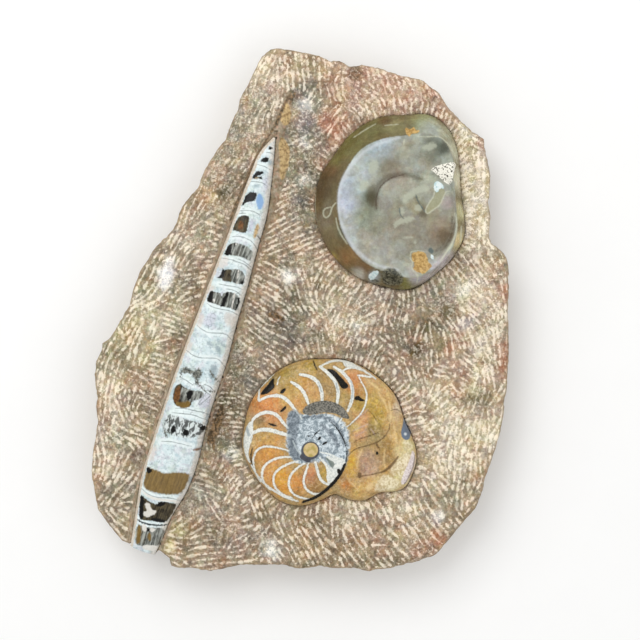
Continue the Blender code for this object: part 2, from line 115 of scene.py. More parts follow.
# The ammonites: where each meets the rock, and the lines that shape the upper one
UPPER_CENTRE = (53, 48)
UPPER_OUTLINE = (
    (79, 71.5), (79.5, 62), (80.2, 55), (81.4, 46), (81.4, 37), (77.5, 28.5), (67.5, 18), (52.5, 10),
    (42, 11.5), (25, 18.5), (14, 30.5), (9, 41.5), (7.5, 53), (10, 65.5), (17, 76.5), (26, 87.5),
    (37.5, 94.5), (52.5, 96.5), (66.5, 95.5), (73.5, 89.5), (77.5, 80.5),
)
LOWER_CENTRE = (17, -64)
LOWER_OUTLINE = (
    (-28.5, -66.5), (-27.5, -58), (-24, -45.5), (-19, -38), (-11, -30.5), (0, -25.5), (11, -24.5),
    (24, -25.5), (36, -31.5), (47.5, -43), (51.5, -54), (57.5, -75.5), (56, -80.5), (51, -88.5),
    (40, -90.5), (31, -94.5), (25, -94), (17, -91.5), (10, -94.5), (2.5, -96.8), (-7.5, -95.5),
    (-17.5, -88), (-25, -78), (-27.8, -71.5),
)

# The chisel marks
MARK_PITCH = 2.45
MARK_WIDTH = (1.4, 2.1)
MARK_HEIGHT = (0.5, 0.95)
MARK_LENGTH = (2.2, 6.4)
MARK_GAP = (0.4, 1.0)
MARK_STEP = 0.5
MARK_LIGHT = (0.6, 1.1)  # how pale one mark is beside the next
# Where the marks are larger: x, y and radius in pixels of the photo, and how much
LARGE_MARKS = ((380, 520, 75, 0.14), (118, 465, 40, 0.12))
MARK_TURN = 0.88  # a mark ends where its way turns faster than this cosine over a few steps
PATCH_BLEND = 0.8  # how softly one patch of marks turns into the next
PATCH_SCATTER = (5.5, 24.0)  # more patches round each: how far off, and degrees turned
ROW_LENGTH = 8.0  # marks of a patch end in rows
ROW_DEPTH = 6.2  # and in rings round the ammonites
RADIAL_REACH = 9.0
FIRST_SEED = (60.0, -115.0)  # where the first line is traced from
SPARE_SEEDS = 16000
LONGEST_TRACE = 60  # steps to each side of a seed
TURN_STEPS = 6  # how far back along a line its turn is measured
TAKEN_REACH = 0.72  # share of the pitch that a line keeps the ends of others off
SEED_REACH = 0.93  # and their seeds
PITCH_SPREAD = (0.96, 1.06)
PATH_STEP = 0.3  # spacing of the places that a mark is drawn from
TAPER_REACH = 0.9  # how far from its ends a mark gets thinner
WORKED_REACH = 1.5  # the ground counts as worked this far off the marks
BARE_PATCHES = 0.42  # spots with no marks
GROOVE_DEPTH = 0.5
GRID = 0.25  # cell of the field that the marks are drawn on
COARSE_GRID = 1.0  # and of the field of their directions
FIELD_LOW = (-107.0, -134.0)
FIELD_SIZE = (214.0, 268.0)

# Which way the marks run on the face: place, and angle from +X in degrees
MARK_DIRECTIONS = (
    (-14, 124, 62), (0, 122, 95), (10, 118, 92), (22, 119, 160), (35, 116, 100), (48, 110, 112),
    (58, 108, 118), (0, 105, 88), (15, 97, 35), (30, 103, 118), (47, 104, 103), (-25, 95, 66),
    (-30, 85, 62), (-40, 70, 62), (-50, 55, 62), (-60, 38, 60), (-70, 25, 60), (-78, 10, 62),
    (-85, -5, 62), (-93, -18, 62), (-8, 100, 85), (-3, 75, 25), (-1, 60, 20), (-2, 42, 25), (0, 28, 30),
    (-5, 15, 135), (5, 8, 95), (72, 96, 115), (80, 85, 118), (88, 70, 92), (88, 58, 60), (88, 42, 88),
    (86, 25, 120), (95, 22, 128), (101, 10, 98), (86, 8, 132), (96, 0, 122), (20, 14, 50), (32, 8, 55),
    (45, 2, 75), (58, 2, 88), (70, 4, 115), (-10, -2, 140), (-2, -12, 128), (7, -10, 92), (16, -10, 105),
    (25, -6, 70), (38, -12, 76), (50, -14, 98), (62, -16, 104), (72, -14, 100), (80, -10, 118),
    (90, -14, 112), (101, -20, 92), (-18, -18, 150), (-26, -30, 175), (-34, -45, 0), (48, -32, 92),
    (62, -28, 100), (80, -30, 110), (95, -36, 100), (50, -40, 50), (58, -46, 40), (68, -42, 45),
    (80, -42, 125), (58, -56, 25), (66, -58, 40), (76, -58, 60), (84, -56, 92), (94, -56, 84),
    (66, -72, 50), (76, -72, 88), (88, -72, 92), (58, -88, 100), (68, -88, 135), (80, -88, 80),
    (86, -96, 45), (30, -99, 75), (42, -100, 112), (54, -100, 100), (64, -102, 125), (-20, -98, 112),
    (-8, -104, 108), (8, -106, 120), (24, -108, 128), (40, -112, 130), (56, -114, 130), (72, -108, 130),
    (-8, -120, 118), (10, -120, 118), (28, -122, 130), (46, -122, 138), (60, -120, 120), (-24, -112, 60),
    (-34, -110, 20), (-42, -112, 165), (-34, -94, 60), (-42, -88, 150), (-50, -96, 110), (-52, -106, 30),
    (-58, -120, 165), (-44, -122, 5), (-30, -122, 10), (-36, -76, 95), (-30, -62, 10), (-97, -30, 85),
    (-100, -50, 85), (-99, -66, 100), (-98, -86, 65), (-94, -102, 130), (-90, -28, 72), (-84, -12, 64),
    (-76, -8, 62), (-63, -10, 165), (-66, -3, 165), (-82, -24, 85), (-70, -26, 165), (-78, -34, 150),
    (-84, -42, 95), (-74, -46, 158), (-90, -50, 110), (-80, -62, 160), (-86, -72, 60), (-90, -84, 62),
    (-92, -96, 60), (-70, 8, 55), (-60, 14, 45), (-58, 25, 62), (-50, 20, 5), (-54, 9, 10), (-46, 32, 5),
    (-73, -37, 165),
)

# Gritty patches where the marks are faint: x, y and radius in pixels of the photo, strength
GRIT_PATCHES = (
    (232, 100, 30, 1.0), (262, 92, 16, 0.8), (238, 140, 24, 0.9), (215, 178, 24, 0.8),
    (304, 120, 24, 1.0), (300, 165, 20, 0.9), (295, 205, 15, 0.7), (222, 208, 14, 0.8),
    (196, 232, 18, 0.5), (360, 92, 24, 0.5), (420, 92, 18, 0.5), (300, 262, 14, 0.6), (445, 303, 15, 0.9),
    (350, 312, 22, 0.6), (418, 348, 9, 0.9), (308, 340, 16, 0.5), (236, 372, 24, 0.6),
    (216, 440, 20, 0.7), (192, 505, 16, 0.7), (226, 530, 18, 0.6), (150, 395, 16, 0.5),
    (112, 440, 14, 0.5), (140, 462, 10, 0.5), (498, 262, 12, 0.6), (478, 398, 15, 0.6),
    (506, 350, 12, 0.5), (400, 497, 18, 0.5), (262, 545, 16, 0.6), (420, 548, 16, 0.5),
    (330, 345, 14, 0.4), (170, 282, 14, 0.6), (182, 310, 12, 0.4), (462, 470, 12, 0.4),
    (240, 345, 12, 0.6), (345, 478, 10, 0.5),
)

# The camera, over the plate as in the photo: middle of the picture, then millimetres
PHOTO_MIDDLE = (320.0, 320.0)
CAMERA_PLACE = (10.0, -5.1)
CAMERA_RISE = 748.0
PHOTO_LEVEL = 30.0  # the camera is CAMERA_RISE above this height, where a pixel covers PIXEL
PHOTO_SIDE = 640
LENS = 85.0
SENSOR = 36.0
PIXEL = CAMERA_RISE * SENSOR / LENS / PHOTO_SIDE
# Heights at which colours are laid on, so that they show where the photo has them
OCHRE_LEVEL = 32.0
ORTHOCERAS_LEVEL = 36.0
UPPER_LEVEL = 39.0
RIM_LEVEL = 36.0
LOWER_LEVEL = 37.0
FAR_OUTSIDE = -40.0  # depth in marks that aren't there

# The studio, in metres and watts: place, size and power of each light
LIGHTS = {"key": ((-0.4, 0.6, 1.05), 0.8, 6.0), "fill": ((0.9, -0.5, 1.1), 1.0, 2.0)}
LIGHT_AIM = (0.0, 0.0, 0.02)
WORLD_LIGHT = 0.76
FLOOR_REACH = 3.0
FLOOR_DROP = 0.0002

# The meshes: spacings of their places, numbers of their rows
RIM_STEP = 1.35
SIDE_ROWS = 22
SIDE_FLAKES = ((1.5, 4.5, 60.0, 7.0), (0.7, 1.9, 80.0, 16.0))  # on top of the solid's breaks
RIM_CHIPS = ((0.4, 2.4, 90.0, 0.0), (0.3, 6.0, 95.0, 0.0))
RIM_SIDE = 0.6  # how much of the side's colour the rim has
# A painted shadow: a dark line on the rock along each edge of the orthoceras, where shade falls between
# shell and rock
SHADOW_LINE_STATIONS = 60
SHADOW_LINE_LEFT = (0.8, 38)  # the painted shadow line by the orthoceras: half its width, and the station where it ends
SHADOW_LINE_RIGHT = (0.5, 32)
WALL_STEP = 0.8
SPOT_CELL = 0.3
FLANK_CELL = 0.95
GROUND_CELL = 0.82
FLOOR_CELL = 6.0
FREE_REACH = 0.55
RIM_CLEAR = 0.45
UNWORKED = 0.8  # rock left without marks round each ammonite
RING_PLACES = 520
POCKET_PLACES = 260
UNDERCUT = 0.06  # the floor of a pocket starts this far inside its wall
POCKET_GAP = 0.3
OVERLAP = -0.08  # the rock reaches just under the edge of each fossil, with no gap to see
ORTHOCERAS_STATIONS = 640
ORTHOCERAS_SIDES = 56
DOME_CELL = 0.42
LOWER_STEP_DEPTH = 0.8
STEP_FADE = 16.0  # how far off its edge the lower ammonite's step runs out
HIGHEST = 41.15  # no place of the upper ammonite is above this
POLISH = 0.2  # how strongly the polished fossils shine
STROKE_TAPER = 0.35

UPPER_SHOULDER = (
    (73.8, 76.5), (75, 66), (75.8, 56), (76.5, 46), (76.5, 38), (75, 31.5), (69, 23), (55.3, 15.7),
    (44.5, 18), (33.2, 22.6), (24.8, 31.5), (20.3, 41), (18.9, 51.5), (19.6, 60), (23.3, 68.4),
    (30.7, 78.3), (39.6, 82.7), (51.9, 84.7), (63.4, 85.4), (69.5, 82.8),
)
UPPER_SEAM = (
    (75.5, 54.5), (75.5, 43.5), (72.5, 34), (66.5, 27.5), (57, 25), (48.5, 28.5), (42.5, 38.5), (39, 47),
    (38, 53), (40, 59.5), (46, 64.5), (55, 66.5), (65, 66), (73, 61.5),
)
# Share of the way in from each line to the next, and height above the underside
UPPER_PROFILE = ((0.0, 29.6), (0.3, 34.2), (0.65, 38.0), (0.9, 40.2), (1.0, 41.0))
UPPER_WHORL = ((0.12, 41.2), (0.5, 40.2), (0.85, 38.3), (1.0, 37.6))
UPPER_HEART = ((0.85, 38.1), (0.5, 39.1))
UPPER_TOP = 39.4
SEAM_MIDDLE = 2.1  # the seam is a groove only round this direction from the middle
LOWER_PROFILE = (
    (0.0, 30.2), (0.02, 31.8), (0.06, 33.6), (0.13, 35.0), (0.26, 36.1), (0.5, 37.2), (0.75, 37.8),
)
LOWER_TOP = 38.0

# Colours as they show on a screen, 0 to 255
CRUSHED_STONE = (252, 244, 228)
FLANK_TAN = (178, 162, 136)
GREY = (146, 146, 130)
TAN = (178, 158, 132)
CREAM = (220, 208, 186)
PINK = (214, 166, 142)
OLIVE = (108, 100, 66)
RUST = (196, 112, 72)
WHITE = (230, 232, 230)
BROWN = (130, 98, 68)
OCHRE = (200, 166, 100)
LILAC = (174, 162, 174)
SAGE = (150, 162, 138)
SLATE = (112, 116, 112)

# Casts laid over a colour: light grey, 188 on each channel, leaves it as it is
WARM = (202, 186, 184)
LEAFY = (180, 190, 178)
SANDY = (200, 192, 178)
PALE = (214, 214, 212)
DIM = (154, 152, 148)
COOL = (182, 182, 198)
RUSTY = (206, 178, 164)

# Patches of colour on the rock: x, y and radius in pixels of the photo, strength, colour
SLAB_TONE = (179, 162, 139)
SLAB_PATCHES = (
    (235, 125, 42, 0.9, (184, 172, 152)), (308, 150, 34, 0.95, (158, 152, 134)),
    (285, 65, 26, 0.8, (192, 172, 146)), (390, 85, 50, 0.9, (206, 184, 162)),
    (335, 132, 18, 0.8, (192, 156, 136)), (478, 190, 46, 1.0, (218, 207, 190)),
    (480, 310, 44, 0.9, (200, 184, 164)), (465, 430, 52, 0.9, (204, 189, 164)),
    (380, 320, 50, 0.9, (162, 150, 134)), (285, 322, 30, 0.9, (142, 134, 120)),
    (225, 410, 38, 0.95, (144, 132, 115)), (340, 538, 62, 0.9, (168, 152, 126)),
    (210, 525, 42, 0.9, (182, 168, 150)), (118, 465, 42, 0.9, (166, 152, 130)),
    (125, 345, 46, 0.9, (160, 166, 142)), (178, 340, 20, 0.8, (150, 134, 114)),
    (150, 400, 26, 0.7, (156, 147, 126)), (160, 300, 26, 0.7, (166, 171, 142)),
    (185, 255, 36, 0.8, (168, 156, 132)), (330, 490, 30, 0.8, (164, 146, 122)), (235, 110, 32, 0.4, GREY),
    (260, 75, 26, 0.4, CREAM), (222, 165, 26, 0.3, GREY), (205, 200, 22, 0.20, OCHRE),
    (190, 240, 26, 0.4, CREAM), (310, 95, 22, 0.8, GREY), (312, 135, 18, 0.8, GREY),
    (303, 175, 20, 0.8, GREY), (304, 222, 18, 0.6, GREY), (305, 105, 8, 0.7, WHITE),
    (306, 140, 6, 0.6, WHITE), (304, 180, 6, 0.6, WHITE), (345, 88, 26, 0.33, PINK),
    (400, 82, 30, 0.39, PINK), (330, 118, 14, 0.33, PINK), (322, 150, 12, 0.28, PINK),
    (354, 72, 9, 0.8, BROWN), (395, 68, 8, 0.33, RUST), (440, 100, 20, 0.33, PINK),
    (470, 140, 20, 0.7, CREAM), (480, 190, 26, 0.8, CREAM), (478, 235, 22, 0.7, CREAM),
    (484, 140, 8, 0.33, RUST), (500, 265, 14, 0.5, GREY), (225, 190, 9, 0.4, OLIVE),
    (210, 225, 18, 0.4, GREY), (164, 284, 7, 0.95, (238, 241, 246)), (166, 272, 8, 0.95, (232, 236, 243)),
    (169, 261, 7, 0.85, (226, 230, 236)), (290, 277, 9, 0.9, WHITE), (283, 262, 12, 0.5, GREY),
    (150, 320, 30, 0.5, CREAM), (125, 350, 26, 0.25, OCHRE), (108, 385, 18, 0.5, CREAM),
    (140, 380, 22, 0.22, PINK), (115, 425, 20, 0.4, CREAM), (105, 465, 20, 0.5, CREAM),
    (118, 500, 20, 0.5, GREY), (240, 370, 18, 0.6, GREY), (215, 440, 20, 0.6, GREY),
    (262, 330, 20, 0.4, GREY), (275, 315, 8, 0.7, BROWN), (300, 300, 14, 0.4, GREY),
    (330, 320, 22, 0.4, CREAM), (365, 310, 20, 0.4, CREAM), (400, 330, 22, 0.17, PINK),
    (428, 325, 10, 0.8, OLIVE), (445, 300, 9, 0.7, OLIVE), (470, 400, 9, 0.6, OLIVE),
    (415, 350, 8, 0.9, BROWN), (452, 345, 8, 0.39, RUST), (440, 345, 8, 0.5, OLIVE),
    (470, 300, 26, 0.6, CREAM), (500, 300, 12, 0.22, PINK), (506, 290, 6, 0.50, RUST),
    (504, 350, 9, 0.50, RUST), (503, 370, 7, 0.50, RUST), (480, 340, 20, 0.5, CREAM),
    (485, 380, 20, 0.6, CREAM), (455, 375, 16, 0.22, PINK), (430, 395, 18, 0.5, CREAM),
    (450, 430, 22, 0.5, CREAM), (480, 435, 18, 0.5, CREAM), (440, 470, 22, 0.5, CREAM),
    (400, 500, 24, 0.5, CREAM), (437, 515, 7, 0.8, WHITE), (440, 540, 9, 0.50, RUST),
    (420, 550, 10, 0.28, RUST), (350, 510, 24, 0.4, CREAM), (320, 545, 22, 0.5, TAN),
    (270, 550, 9, 0.8, WHITE), (232, 455, 7, 0.8, WHITE), (232, 457, 3, 0.9, OLIVE),
    (210, 500, 26, 0.3, GREY), (225, 540, 24, 0.2, BROWN), (190, 555, 14, 0.4, TAN),
    (255, 515, 18, 0.3, BROWN), (220, 425, 14, 0.4, BROWN), (508, 300, 7, 0.44, RUST),
    (505, 362, 8, 0.50, RUST), (494, 268, 10, 0.33, PINK), (450, 312, 10, 0.9, OLIVE),
    (440, 326, 7, 0.9, SLATE), (463, 335, 6, 0.44, RUST), (415, 352, 7, 0.9, OLIVE),
    (402, 343, 9, 0.5, SLATE), (468, 322, 8, 0.5, LILAC), (458, 395, 8, 0.39, RUST),
    (482, 400, 12, 0.7, OLIVE), (398, 330, 10, 0.5, GREY), (462, 290, 10, 0.5, WHITE),
    (438, 290, 8, 0.5, SAGE), (300, 200, 9, 0.7, SLATE), (228, 192, 4, 0.5, (60, 52, 34)),
    (222, 198, 9, 0.3, OLIVE), (303, 125, 10, 0.5, LILAC), (207, 165, 12, 0.28, PINK),
    (330, 125, 9, 0.44, RUST), (322, 165, 9, 0.33, PINK), (215, 140, 9, 0.33, RUST),
    (340, 100, 10, 0.25, OCHRE), (352, 445, 4, 0.2, WHITE), (130, 330, 14, 0.30, OCHRE),
    (205, 365, 10, 0.4, OLIVE), (250, 385, 10, 0.5, SLATE), (228, 400, 12, 0.5, OLIVE),
    (238, 345, 10, 0.4, SAGE), (120, 440, 12, 0.5, SAGE), (100, 400, 10, 0.25, OCHRE),
    (255, 540, 14, 0.4, SLATE), (200, 530, 14, 0.3, OLIVE), (180, 545, 10, 0.3, BROWN),
    (305, 525, 14, 0.20, OCHRE), (370, 540, 14, 0.22, PINK), (450, 500, 12, 0.5, SAGE),
    (480, 470, 10, 0.20, OCHRE), (322, 330, 10, 0.5, BROWN), (290, 335, 12, 0.5, SLATE),
    (355, 330, 10, 0.3, WHITE), (176, 528, 11, 0.7, (206, 194, 138)), (170, 546, 8, 0.7, (196, 182, 122)),
    (194, 526, 7, 0.5, (156, 120, 92)), (198, 492, 8, 0.7, (190, 194, 182)),
)
# Dark marks on the rock: real stains, specks and a crack, and a painted shadow line down the left of the
# orthoceras's groove and shell
STAIN_AND_SHADOW_AREAS = (
    ((222, 402), (225, 412), (219, 425), (212, 438), (208, 446), (206, 440), (212, 425), (217, 412)),
    ((269, 311), (275, 313), (286, 318), (284, 322), (274, 318), (267, 315)),
    ((297, 91), (293, 92), (288, 104), (291, 104)), ((218, 408), (224, 410), (222, 420), (217, 419)),
    ((212, 428), (221, 430), (218, 437), (210, 436)),
)
STAIN_AND_SHADOW_LINES = (
    # the first and third lines are painted shadow along the shell's left edge; the last is a real dark
    # crack
    (4.2, ((291, 93), (286, 102), (279, 118), (276, 125))), (3.5, ((276, 132), (276, 134))),
    (3.4, ((277, 123), (268, 137), (259, 152.5), (252, 167), (245, 185), (237, 202), (230, 221))),
    (4.0, ((220, 407), (222, 419), (217, 430), (212, 440), (214, 449))),
)
OCHRE_AREAS = (
    ((285, 103), (290, 104), (291, 115), (289, 123.5), (284, 125.5), (280, 122), (282.5, 112)),
    ((280, 137), (285, 138), (289, 147), (290, 156), (287, 168), (283, 180), (279, 178), (280, 162),
     (278.5, 148)),
)
DROPLET = (
    (404.5, 417), (407, 425), (411.5, 432), (411, 438.5), (407, 441), (402, 438), (401, 432),
    (403.5, 425),
)

# The orthoceras's chambers, in pixels of the photo: areas, then lines with their widths
OLIVE_CHAMBER = (
    (148, 466), (152, 468), (158, 470), (166, 473), (174, 471.5), (182, 472), (188, 473), (190, 476),
    (187, 484), (183, 492), (178, 494), (170, 494), (160, 493), (152, 491), (146, 489), (143, 484),
    (145, 476),
)
ORTHOCERAS_MARKS = {
    "mist": ((
        ((215, 344), (219, 345), (221.5, 350), (220, 353.5), (216, 351)),
        ((268, 160), (272, 160.5), (272, 164), (269, 164.5)),
        ((210, 366), (214, 364), (218, 368), (216, 374), (214, 378.5), (210, 377)),
        ((254, 184), (259, 184), (259, 187), (255, 187)),
        ((188, 476), (194, 478), (196, 492), (190, 506), (184, 512), (186, 498), (190, 488)),
    ), (
        (2.5, ((208, 342), (213, 346))), (1.5, ((219, 341), (225, 347))), (3.0, ((201, 447), (200, 460))),
        (2.0, ((209, 405), (206, 425))),
    )),
    "lilac": ((
        ((250, 218), (254, 220), (252, 233), (248, 233)),
        ((200, 393), (213, 393), (209, 408), (198, 408)),
        ((262, 178), (268, 178), (268, 190), (264, 190)),
        ((208, 312), (218, 312), (214, 328), (202, 326)),
    ), ()),
    "blush": ((
        ((199, 314), (206, 314), (202, 328), (196, 326)),
        ((186, 340), (194, 342), (190, 354), (182, 352)),
        ((224, 312), (236, 314), (234, 326), (226, 326)),
        ((152, 446), (158, 444), (154, 460), (148, 460)),
        ((222, 256), (230, 258), (226, 268), (216, 268)),
        ((206, 284), (216, 286), (212, 292), (206, 294)),
    ), ()),
    "smoke": ((
        ((181, 370), (184, 366.5), (190, 368), (195, 371), (192, 374), (186, 373), (181, 372.5)),
        ((191, 373), (195, 370), (201, 367.5), (203, 373), (200.5, 379), (196, 379), (193, 377)),
    ), (
        (3.2, ((197, 378), (198, 383))), (2.0, ((198, 382), (202, 388), (206, 391))),
        (1.2, ((205, 390.5), (214, 391.5))), (2.4, ((211, 371), (214, 377))),
        (1.4, ((214, 377), (219, 382))), (1.0, ((181, 372), (181, 379))), (3.0, ((165, 426), (167, 436))),
        (1.6, ((170, 420), (168, 428))),
    )),
    "speckle": ((
        ((168, 414), (178, 416), (190, 420), (206, 424), (204, 433), (192, 438), (180, 437), (170, 434),
         (163, 428)),
    ), ()),
    "umber": ((
        ((239, 217), (244, 215), (249, 216.5), (250, 219), (248, 224), (247, 233), (241, 232.5),
         (236, 231), (232, 230), (236, 221)),
        ((229, 245), (233, 243), (240, 243.5), (241, 256), (231, 255), (224, 255.5), (226, 250)),
        ((223, 270), (234, 269.5), (233, 282.5), (226, 281.5), (221, 279.5)),
        ((211, 290), (214, 292), (222, 293.5), (222, 306), (215, 304), (207, 301.5), (208, 297)),
        ((141, 494), (146, 498), (152, 502), (157, 504), (160, 501), (166, 501), (172, 503), (177, 504),
         (174, 510), (171, 516), (166, 522), (160, 522), (152, 520), (144, 520), (139, 518), (140, 508)),
        ((176, 386), (180, 383), (184, 386), (188, 389), (193, 390), (194, 396), (192, 403), (191, 406),
         (185, 408), (178, 406), (174, 403), (173, 396), (174, 390)),
    ), ()),
    # dark chambers with grey streaks along the shell, partly the shell's own grain and partly a painted
    # reflection on its rounded top
    "stripes_and_sheen": ((
        ((231, 244), (240, 243.5), (246, 246), (252.5, 251), (252, 257), (250, 261.5), (244, 258),
         (236, 255.5), (228, 254.5)),
        ((231, 269.5), (238, 269), (244, 272), (245, 278), (243.5, 285), (238, 284), (231, 282)),
        ((222, 294), (228, 291.5), (234, 293), (240, 297), (240, 302), (238, 308), (236.5, 311),
         (233, 309), (226, 307), (220, 306)),
        ((181, 386), (187, 389), (193, 390), (204, 391), (204, 396), (199, 399), (195, 400), (190, 404),
         (180, 403)),
        ((136, 524), (148, 527), (166, 528), (161, 546), (148, 546), (134, 545)),
        ((212, 292), (222, 293.5), (222, 306), (211, 303)),
    ), ()),
    "olive": ((
        OLIVE_CHAMBER,
        ((175, 402), (184, 402), (191, 400), (190, 407), (184, 408), (178, 406)),
        ((148, 532), (152, 533), (151, 541), (148, 540)),
        ((137.5, 524), (142, 526), (141, 540), (139, 544), (136, 543)),
        ((254, 176), (261, 177), (258, 178.8), (253, 179)),
    ), ()),
    "rust": ((
        ((176.5, 388), (180, 385), (181.5, 392), (179, 402), (174, 402), (174, 394)),
        ((239, 221), (243.5, 221), (243, 230), (238, 230)),
        ((192, 450), (197, 448), (203, 448), (198, 451)),
    ), ()),
    "ochre": ((
        ((257, 223), (260, 226), (258, 232), (256, 238), (253, 238), (254, 232)),
        ((142, 530), (146, 530), (146, 544), (142, 544)),
    ), ()),
    "black": ((
        ((268, 148), (270, 145.5), (272, 147), (272, 149.5), (269, 149.3)),
        ((260, 161), (262, 158), (266, 156.5), (269, 158), (268, 161), (266, 162.5), (262, 162)),
        ((252, 176), (256, 172), (259, 170.5), (264.5, 172), (260.5, 174.5), (256, 176.5), (252, 179.5)),
        ((258, 177), (262, 176.5), (263, 179), (259, 178.8)),
        ((246, 195), (249, 192), (253, 191.5), (257.5, 193.5), (256, 198), (254.5, 201.8), (249, 201.5),
         (245, 203.5), (241, 207), (243, 202)),
        ((229, 245), (232.5, 243.5), (231.5, 250), (231, 255), (224, 255.5), (226, 250)),
        ((222, 268.5), (225, 270), (224.5, 274), (224, 278), (218, 278.5), (217, 277.5), (221, 275)),
        ((241, 281), (244, 280), (243, 285), (240, 284)),
        ((211, 290), (213.5, 293), (213, 300), (211, 303), (207, 301.5), (208, 297)),
        ((226, 292.5), (230, 292), (227, 300), (224, 307), (220, 306.5), (222, 302)),
        ((238, 296), (240, 299), (239, 304), (236.5, 311), (235, 309), (237.5, 302)),
        ((187, 391), (194, 390), (193, 396), (190, 401), (187, 398)),
        ((140, 494), (145, 498), (143.5, 508), (144, 520), (139, 518), (139.5, 506)),
        ((157, 504), (160, 501), (166, 501), (166, 504), (158, 507)),
        ((152, 517), (160, 518), (166, 520), (166, 522), (160, 522), (152, 520)),
        ((146, 466), (152, 468.5), (153, 471), (147, 474)),
        ((147, 527), (151, 528), (150, 531), (147, 531)),
        ((200, 426), (206, 425.5), (205, 431), (199, 430)),
        ((185, 427), (190, 431), (188, 437), (183, 434)),
        ((172, 426), (176, 424), (176, 433), (171, 432)),
    ), (
        (0.9, ((255, 235), (257, 235.5), (261, 239.5))),
        (1.8, ((138, 519.5), (142, 522), (150, 524), (158, 525), (166, 525))),
    )),
    "cream": ((
        ((145, 504), (147, 501.5), (151, 503), (151, 507), (154, 510), (157, 510), (156, 513.5),
         (152, 514.5), (149, 517), (144, 515.5), (143.5, 511), (147, 511), (147, 508)),
        ((142, 523), (147, 525), (147, 531), (143, 531)),
        ((150, 527), (156, 528), (155, 531), (151, 532)),
        ((144, 544), (158, 546), (156, 552), (142, 549)),
    ), (
        (2.0, ((214, 300), (214.5, 300.5))), (1.6, ((236, 244.5), (236.4, 244.5))),
        (2.4, ((143, 491), (150, 496.5), (160, 499), (172, 500), (180, 503))),
        (1.5, ((235, 293), (232, 308))), (1.2, ((239, 270), (237, 283))),
    )),
    "sky": ((
        ((259, 193), (262, 195), (264, 201), (262, 209), (259, 210), (257, 206), (256, 201), (257, 196)),
    ), ()),
}
SEPTA = (
    ((266, 152), (271, 152.5), (274, 155)), ((257, 164), (264, 166), (270, 169)),
    ((249, 180.5), (254, 181.5), (262, 182), (268, 187)),
    ((240, 210.5), (248, 210.5), (254, 211.5), (260, 215)), ((239, 213.5), (246, 213.5)),
    ((232, 237), (238, 236), (246, 238), (254, 243), (257, 250)),
    ((221, 258), (230, 259.5), (238, 262), (246, 265), (251, 270)),
    ((238, 259), (245, 262), (252, 268)), ((219, 284), (228, 286), (236, 286.5), (242, 289.5)),
    ((226, 289), (234, 290), (241, 295)),
    ((207, 303), (212, 307), (222, 309.5), (232, 311), (239, 316)),
    ((197, 325), (206, 332), (212, 333), (222, 333), (228, 335), (232, 341)),
    ((186, 350), (193, 355), (199, 357.5), (207, 358), (216, 358), (221, 361), (225, 368)),
    ((181, 377), (188, 381), (194, 385)), ((204, 384), (210, 386), (214, 391)),
    ((176, 408), (186, 408), (195, 410.5), (203, 412), (209, 415)),
    ((172, 412), (184, 413.5), (192, 414), (200, 417), (208, 421)),
    ((161, 441), (172, 441), (180, 443), (192, 446)),
    ((141, 488), (149, 494), (158, 497), (170, 497), (182, 501)), ((206, 393), (202, 399), (197, 406)),
    ((211, 395), (206, 400), (199, 405)), ((205, 391), (211, 395)),
    ((154, 437), (150, 445), (148, 456), (146, 465)),
    ((135, 518), (142, 522), (150, 524), (158, 525), (167, 525)),
)

# The upper ammonite's colours and marks, painted reflections and shadows among them, in pixels of the photo
UPPER_TONE = (158, 160, 148)
UPPER_PATCHES_HIGHLIGHTS_AND_SHADOWS = (
    # the pale blue-grey patches along the left shoulder, on these lines, are a painted reflection
    (356, 170, 14, 0.9, (186, 192, 192)), (346, 206, 11, 0.9, (182, 188, 206)),
    (345, 188, 11, 0.8, (176, 184, 198)), (384, 149, 13, 0.9, (176, 190, 202)),
    (372, 155, 12, 0.8, (160, 172, 172)), (345, 225, 11, 0.6, (182, 186, 190)),
    (362, 190, 9, 0.7, (176, 188, 184)), (364, 245, 16, 0.7, (162, 160, 152)),
    (352, 240, 9, 0.7, (178, 184, 186)), (385, 262, 16, 0.7, (170, 168, 160)),
    (400, 152, 14, 0.6, (150, 148, 134)), (391, 168, 11, 0.8, (134, 124, 104)),
    # the dark patches at the end of the whorl are painted shadow
    (434, 147, 12, 0.9, (104, 107, 92)), (443, 149, 7, 0.9, (80, 82, 72)),
    (426, 150, 6, 0.7, (160, 168, 160)), (432, 157, 8, 0.8, (122, 126, 112)),
    # the dark olive patches left of the seam are painted shadow in its groove
    (371, 197, 9, 0.95, (80, 84, 62)), (369, 212, 10, 0.7, (116, 120, 98)),
    (364, 222, 10, 0.6, (140, 148, 132)), (376, 228, 12, 0.5, (134, 130, 112)),
    (398, 178, 9, 0.5, (150, 132, 118)), (410, 228, 26, 0.8, (136, 128, 114)),
    (388, 205, 9, 0.7, (146, 138, 126)), (395, 190, 10, 0.6, (150, 144, 130)),
    (410, 190, 11, 0.5, (150, 152, 134)), (441, 225, 12, 0.8, (146, 128, 112)),
    (448, 203, 7, 0.8, (176, 162, 160)), (436, 240, 12, 0.7, (126, 110, 92)),
    (446, 238, 8, 0.8, (108, 90, 66)), (416, 205, 9, 0.6, (138, 136, 108)),
    (400, 245, 18, 0.5, (150, 146, 132)), (395, 212, 10, 0.5, (138, 136, 116)),
    (430, 215, 10, 0.5, (134, 124, 98)), (448, 262, 9, 0.9, (190, 184, 190)),
    (437, 268, 8, 0.8, (182, 178, 184)), (413, 270, 8, 0.6, (168, 168, 166)),
)
RIM_TONE = (108, 96, 66)
